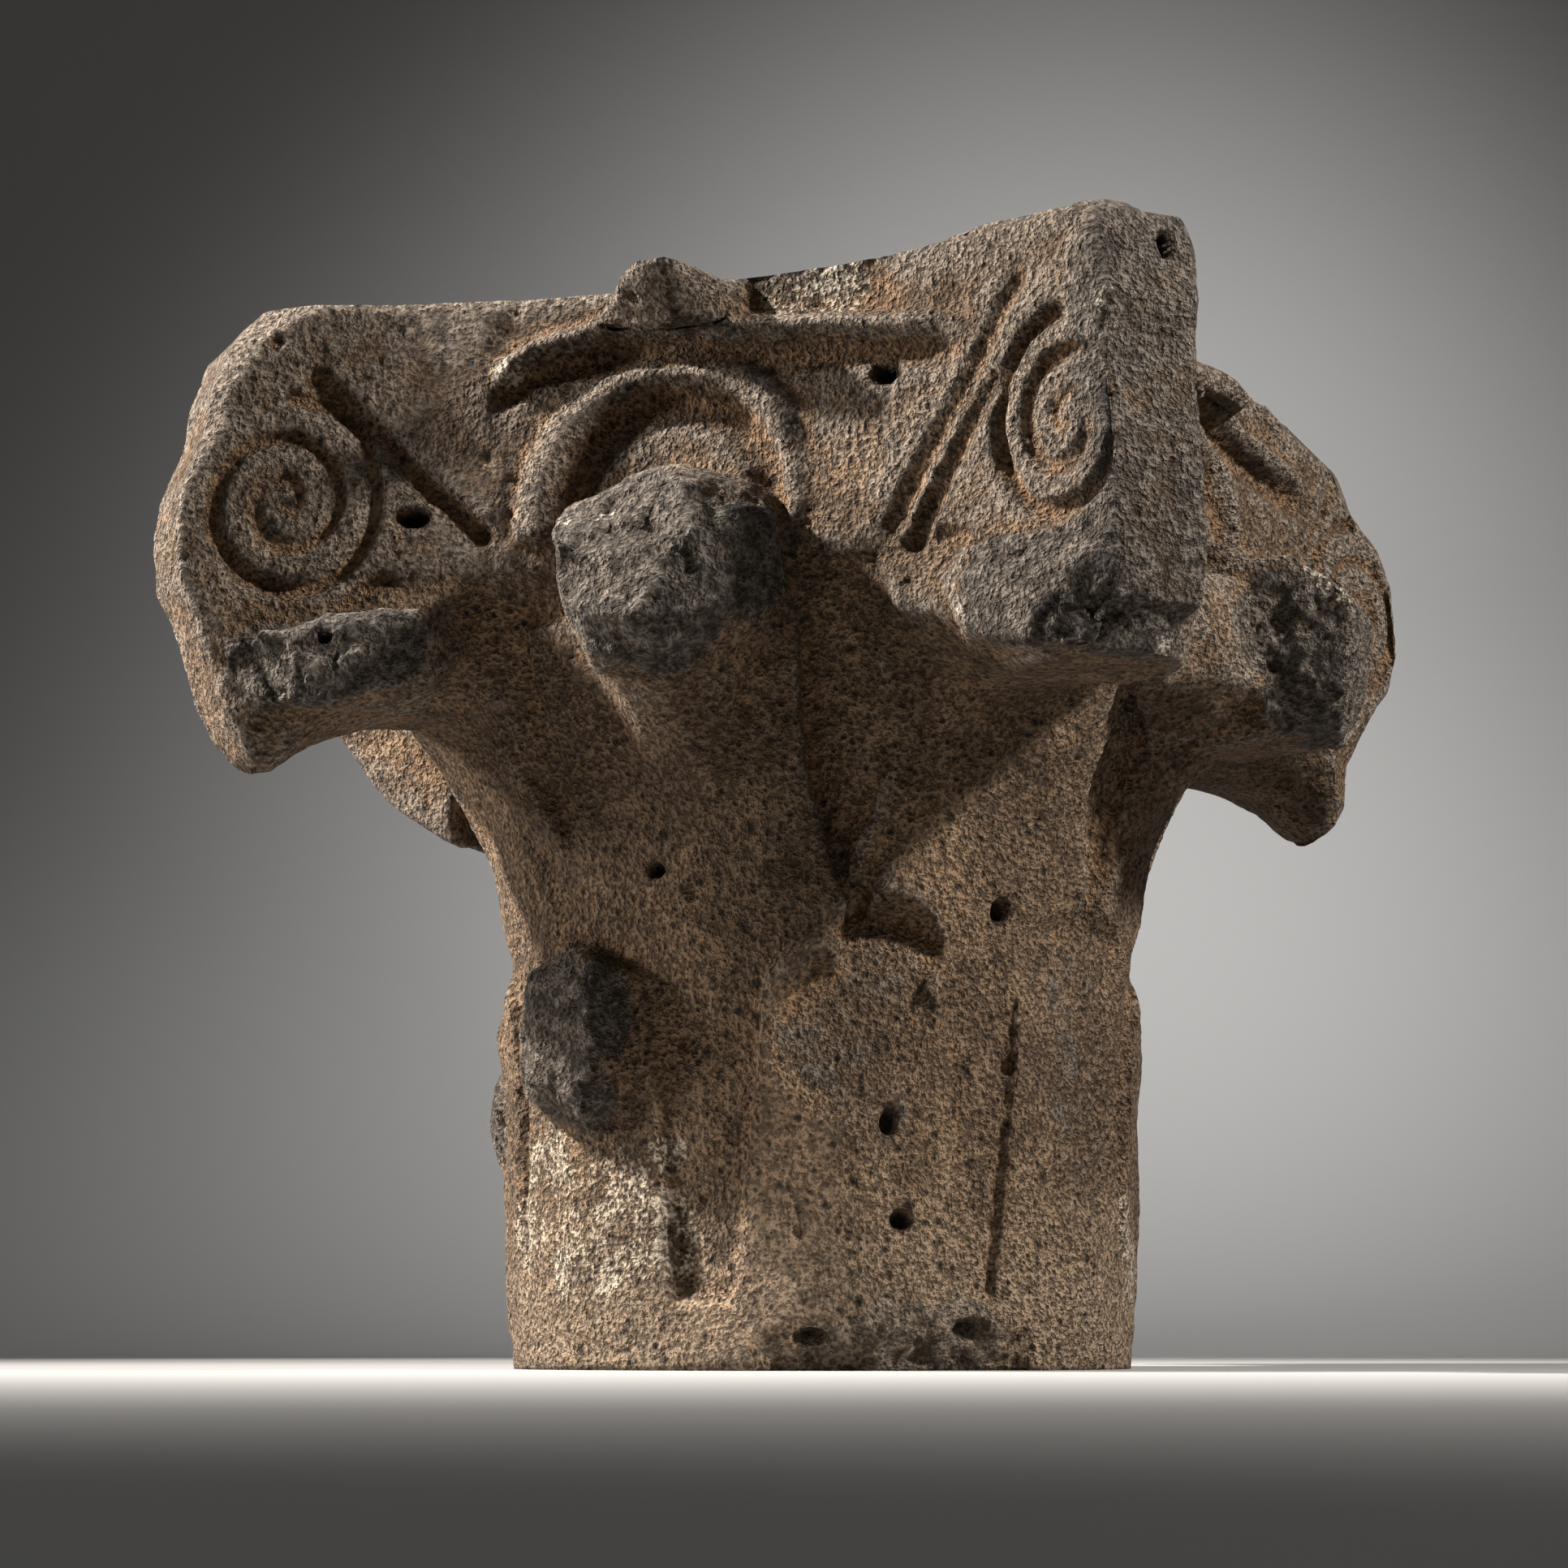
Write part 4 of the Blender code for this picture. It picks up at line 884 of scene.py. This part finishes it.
def make_capital():
    """The whole capital: fused, carved, weathered and thinned, with the masks that its stone reads."""
    capital = new_piece("basalt_capital")
    edge, rounds = ((FINE_EDGE, FINE_SMOOTHING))
    applied(capital, "REMESH", {"mode": "VOXEL", "voxel_size": edge})
    applied(capital, "SMOOTH", {"factor": SMOOTHING_FACTOR, "iterations": rounds})
    points, normals = mesh_arrays(capital.data)
    set_points(capital.data, carve(points, normals))
    applied(capital, "SMOOTH", {"factor": SMOOTHING_FACTOR, "iterations": 1})
    points, normals = mesh_arrays(capital.data)
    points = weather(points, normals)
    points[np.abs(points[:, 2]) < BED_SNAP, 2] = 0
    points[:, 2] = np.clip(points[:, 2], 0, None)
    set_points(capital.data, points)
    ratio = FINE_TRIANGLES / (2 * len(capital.data.polygons))
    if ratio < 1:
        applied(capital, "DECIMATE", {"ratio": ratio, "use_collapse_triangulate": True})
    capital.data.shade_smooth()

    points, normals = mesh_arrays(capital.data)
    fine, broad = cavity(capital.data, points, normals)
    # The near corner's end is darkened as a break, partly for its real grain and partly as painted shade, so
    # the broken mask carries painted shade there
    old_breaks_and_end_shade = NEAR_END_BREAK_AND_SHADE_SHARE * spot_share(points, near_end_break_and_shade_spots())
    old_breaks_and_end_shade = np.maximum(old_breaks_and_end_shade, LEAF_SCAR_SHARE * spot_share(points, scar_spots()))
    masks = {
        "hollow": 0.5 + 0.5 * np.clip(0.6 * fine + 0.8 * broad, -1, 1),
        "broken": np.maximum(spot_share(points, broken_spots()), old_breaks_and_end_shade),
        "lime": spot_share(points, lime_spots()),
        "hole": np.clip(hole_depth(points), 0, 1),
    }
    for name, values in masks.items():
        layer = capital.data.attributes.new(name, "FLOAT", "POINT")
        layer.data.foreach_set("value", values.astype(np.float32))
    return capital


class Value:
    """A number that varies over a surface: sums, products and powers of it add Math nodes."""

    def __init__(self, shader, socket):
        self.shader = shader
        self.socket = socket

    def math(self, operation, *others):
        node = self.shader.node("ShaderNodeMath", {"operation": operation}, dict(enumerate((self, *others))))
        return Value(self.shader, node.outputs[0])

    def __add__(self, other):
        return self.math("ADD", other)

    __radd__ = __add__

    def __mul__(self, other):
        return self.math("MULTIPLY", other)

    __rmul__ = __mul__

    def __sub__(self, other):
        return self.math("SUBTRACT", other)

    def __rsub__(self, other):
        return self * -1 + other

    def __truediv__(self, other):
        return self.math("DIVIDE", other)

    def __pow__(self, other):
        return self.math("POWER", other)

    def clamped(self):
        return self.math("MAXIMUM", 0).math("MINIMUM", 1)

    def step(self, start, end):
        """0 at start, 1 at end, and a soft slope between."""
        node = self.shader.node("ShaderNodeMapRange", {"interpolation_type": "SMOOTHSTEP"},
                                {"Value": self, "From Min": start, "From Max": end})
        return Value(self.shader, node.outputs["Result"])


class Shader:
    """The nodes of one material."""

    def __init__(self, name):
        self.material = bpy.data.materials.new(name)
        self.material.use_nodes = True
        self.tree = self.material.node_tree
        self.surface = self.tree.nodes["Principled BSDF"]
        self.place = self.node("ShaderNodeTexCoord").outputs["Object"]

    def node(self, kind, settings=(), sockets=()):
        """Add a node. Its settings are set first, then its sockets get their values or links."""
        node = self.tree.nodes.new(kind)
        for name, value in dict(settings).items():
            setattr(node, name, value)
        for name, value in dict(sockets).items():
            self.feed(node.inputs[name], value)
        return node

    def feed(self, socket, value):
        """Link a varying value to the socket, or set a constant one on it."""
        if isinstance(value, Value):
            value = value.socket
        if isinstance(value, bpy.types.NodeSocket):
            self.tree.links.new(value, socket)
        else:
            socket.default_value = value

    def attribute(self, name):
        return Value(self, self.node("ShaderNodeAttribute", {"attribute_name": name}).outputs["Fac"])

    def noise(self, size, detail, rough):
        """Cloudy noise from 0 to 1, whose largest clouds are about size across."""
        sockets = {"Vector": self.place, "Scale": 1 / size, "Detail": detail, "Roughness": rough}
        return Value(self, self.node("ShaderNodeTexNoise", {}, sockets).outputs["Fac"])

    def warp(self, place, size, reach):
        """The place, pushed about by noise so that round things come out ragged."""
        drift = self.node("ShaderNodeTexNoise", {}, {"Vector": place, "Scale": 1 / size, "Detail": 0.0})
        sockets = {0: drift.outputs["Color"], 1: (0.5, 0.5, 0.5)}
        centred = self.node("ShaderNodeVectorMath", {"operation": "SUBTRACT"}, sockets)
        sockets = {0: centred.outputs[0], "Scale": 2 * reach}
        push = self.node("ShaderNodeVectorMath", {"operation": "SCALE"}, sockets)
        moved = self.node("ShaderNodeVectorMath", {"operation": "ADD"}, {0: place, 1: push.outputs[0]})
        return moved.outputs[0]

    def pits(self, place, cell, radius, share):
        """0 on the surface and 1 deep in round pits. A share of the cells has one, each of its own size."""
        node = self.node("ShaderNodeTexVoronoi", {}, {"Vector": place, "Scale": 1 / cell, "Randomness": 1.0})
        parts = self.node("ShaderNodeSeparateColor", {}, {"Color": node.outputs["Color"]})
        open_here = Value(self, parts.outputs[0]).step(1 - share, 1 - share + 0.1)
        size = Value(self, parts.outputs[1]) * 0.55 + 0.45
        away = Value(self, node.outputs["Distance"]) * (cell / radius) / size
        return (1.15 - away).clamped() ** 0.5 * open_here

    def mix(self, factor, one, two):
        """The first colour where the factor is 0, and the second where it is 1."""
        node = self.node("ShaderNodeMix", {"data_type": "RGBA"}, {"Factor": factor, 6: one, 7: two})
        return node.outputs[2]


def basalt():
    """Porous brown basalt, warmer in hollows, greyer where worn, dark where broken (at the near end partly
    painted shade), with lime in places, and painted shade in its pits.
    """
    shader = Shader("weathered_basalt")
    broad = shader.noise(0.13, 3.0, 0.6)
    patchy = shader.noise(0.030, 4.0, 0.62)
    lump = shader.noise(0.0085, 2.0, 0.55)
    crumb = shader.noise(0.0034, 3.0, 0.6)
    hollow = shader.attribute("hollow")
    broken = shader.attribute("broken")
    lime = shader.attribute("lime")
    hole = shader.attribute("hole")
    height = Value(shader, shader.node("ShaderNodeSeparateXYZ", {}, {0: shader.place}).outputs[2])

    ragged_place = shader.warp(shader.place, RAGGED_SIZE, RAGGED_REACH)
    fine_pits = shader.pits(ragged_place, *FINE_PITS)
    mid_pits = shader.pits(ragged_place, *MID_PITS)
    wide_pits = shader.pits(ragged_place, *WIDE_PITS)
    sunken = (crumb + (lump - 0.5) * 0.30).step(0.40, 0.52)

    colour = shader.mix((broad * 0.55 + patchy * 0.45).step(0.42, 0.58), BROWN, TAN)
    rusty = (hollow - 0.62 + (patchy - 0.5) * 1.0).step(0.0, 0.40)
    colour = shader.mix(rusty * 0.45, colour, ORANGE)
    worn = 0.38 - hollow + (patchy - 0.5) * 0.9 + (broad - 0.5) * 0.8 + (height - 0.40) * 1.4
    colour = shader.mix(worn.step(0.0, 0.35) * 0.80, colour, WORN_GREY)
    # Dark break colours; at the near corner's end they are partly painted shade
    fresh = (broken + (patchy - 0.5) * 1.5 + (lump - 0.5) * 0.6).step(0.34, 0.78)
    colour = shader.mix(fresh * 0.9, colour, shader.mix(lump.step(0.38, 0.62), DARK_BREAK, GREY_BREAK))
    low = (0.15 - height + (patchy - 0.5) * 0.16).step(0.0, 0.14)
    colour = shader.mix(low * 0.4, colour, DUST)
    white = (lime + (patchy - 0.5) * 2.2 + (crumb - 0.5) * 2.4).step(0.85, 1.30)
    colour = shader.mix(white * 0.45, colour, LIME)
    fleck = (crumb + (lump - 0.5) * 0.25).step(0.66, 0.74)
    colour = shader.mix(fleck * 0.20, colour, LIME)
    # Painted shade: the low parts of the crumbs are darkened towards the near-black pit shade
    colour = shader.mix(sunken, shader.mix(0.56, colour, PIT_SHADE), colour)
    # Painted shade inside the pits and single holes, which go almost black, less so on fresh breaks
    shade = fine_pits * 0.85
    for pits in (mid_pits, wide_pits, hole):
        shade = shade.math("MAXIMUM", pits)
    colour = shader.mix(shade.clamped() * (1 - 0.35 * fresh), colour, PIT_SHADE)
    shader.feed(shader.surface.inputs["Base Color"], colour)
    shader.surface.inputs["Roughness"].default_value = 0.94
    shader.surface.inputs["Specular IOR Level"].default_value = 0.2

    relief = sunken * 2.5 + crumb * 11.0 + lump * 12.0 - fine_pits * 2.5 - mid_pits * 4.0 - wide_pits * 6.0
    bump = shader.node("ShaderNodeBump", {}, {"Strength": 1.0, "Distance": 0.001, "Height": relief})
    shader.feed(shader.surface.inputs["Normal"], bump.outputs[0])
    return shader.material


def plain(name, colour, rough):
    """An even matt finish."""
    shader = Shader(name)
    shader.surface.inputs["Base Color"].default_value = colour
    shader.surface.inputs["Roughness"].default_value = rough
    return shader.material


def make_stage():
    """A pale floor that bends up into a backdrop, in one sheet."""
    floor = bmesh.new()
    profile = [(STAGE_FRONT, 0.0)]
    for step in range(STAGE_BEND_STEPS + 1):
        turn = step / STAGE_BEND_STEPS * math.pi / 2
        back = STAGE_BACK - STAGE_BEND + STAGE_BEND * math.sin(turn)
        profile.append((back, STAGE_BEND * (1 - math.cos(turn))))
    profile.append((STAGE_BACK, STAGE_TOP))
    verts = [floor.verts.new((-STAGE_HALF_WIDTH, y, z)) for y, z in profile]
    edges = [floor.edges.new(pair) for pair in zip(verts, verts[1:])]
    swept = bmesh.ops.extrude_edge_only(floor, edges=edges)
    moved = [v for v in swept["geom"] if isinstance(v, bmesh.types.BMVert)]
    bmesh.ops.translate(floor, verts=moved, vec=(2 * STAGE_HALF_WIDTH, 0, 0))
    bmesh.ops.rotate(floor, verts=floor.verts, cent=(0, 0, 0), matrix=Matrix.Rotation(STAGE_TURN, 3, "Z"))
    bmesh.ops.recalc_face_normals(floor, faces=floor.faces)
    mesh = bpy.data.meshes.new("studio_floor")
    floor.to_mesh(mesh)
    floor.free()
    mesh.shade_smooth()
    piece = bpy.data.objects.new("studio_floor", mesh)
    bpy.context.collection.objects.link(piece)
    mesh.materials.append(plain("pale_floor", PALE_GREY, 0.8))


def add_light(name, place, target, size, power, colour, spread=LIGHT_SPREAD):
    light = bpy.data.lights.new(name, "AREA")
    light.shape = "DISK"
    light.size = size
    light.energy = power
    light.color = colour
    light.spread = math.radians(spread)
    lamp = bpy.data.objects.new(name, light)
    lamp.location = place
    lamp.rotation_euler = (Vector(target) - Vector(place)).to_track_quat("-Z", "Y").to_euler()
    bpy.context.collection.objects.link(lamp)


def make_camera_and_lights():
    camera = bpy.data.objects.new("camera", bpy.data.cameras.new("camera"))
    camera.data.sensor_width = CAMERA_SENSOR
    camera.data.lens = CAMERA_LENS
    camera.location = CAMERA_PLACE
    camera.rotation_euler = (math.radians(90 + CAMERA_RISE), 0, math.radians(CAMERA_TURN))
    bpy.context.collection.objects.link(camera)
    bpy.context.scene.camera = camera

    middle = (0, 0, 0.38)
    add_light("key", (-2.30, -0.95, 2.35), middle, 0.18, 52.0, WARM)
    add_light("low", (-2.40, -1.15, 0.85), middle, 0.40, 8.0, WARM)
    add_light("side", (2.30, -0.42, 1.80), middle, 0.25, 18.0, MILD)
    add_light("backdrop", (0.20, 1.10, 2.90), (-0.70, 3.00, 0.70), 1.20, 20.0, NEUTRAL)
    add_light("room", (0.0, -1.50, 4.50), (0.0, -1.50, 0.0), 3.00, 36.0, NEUTRAL, 180)
    world = bpy.data.worlds.new("studio")
    bpy.context.scene.world = world
    world.use_nodes = True
    background = world.node_tree.nodes["Background"]
    background.inputs["Color"].default_value = (*NEUTRAL, 1.0)
    background.inputs["Strength"].default_value = WORLD_LIGHT
    bpy.context.scene.view_settings.view_transform = "Standard"


capital = make_capital()
capital.data.materials.append(basalt())
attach(capital, "root")
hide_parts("capital")
make_stage()
make_camera_and_lights()
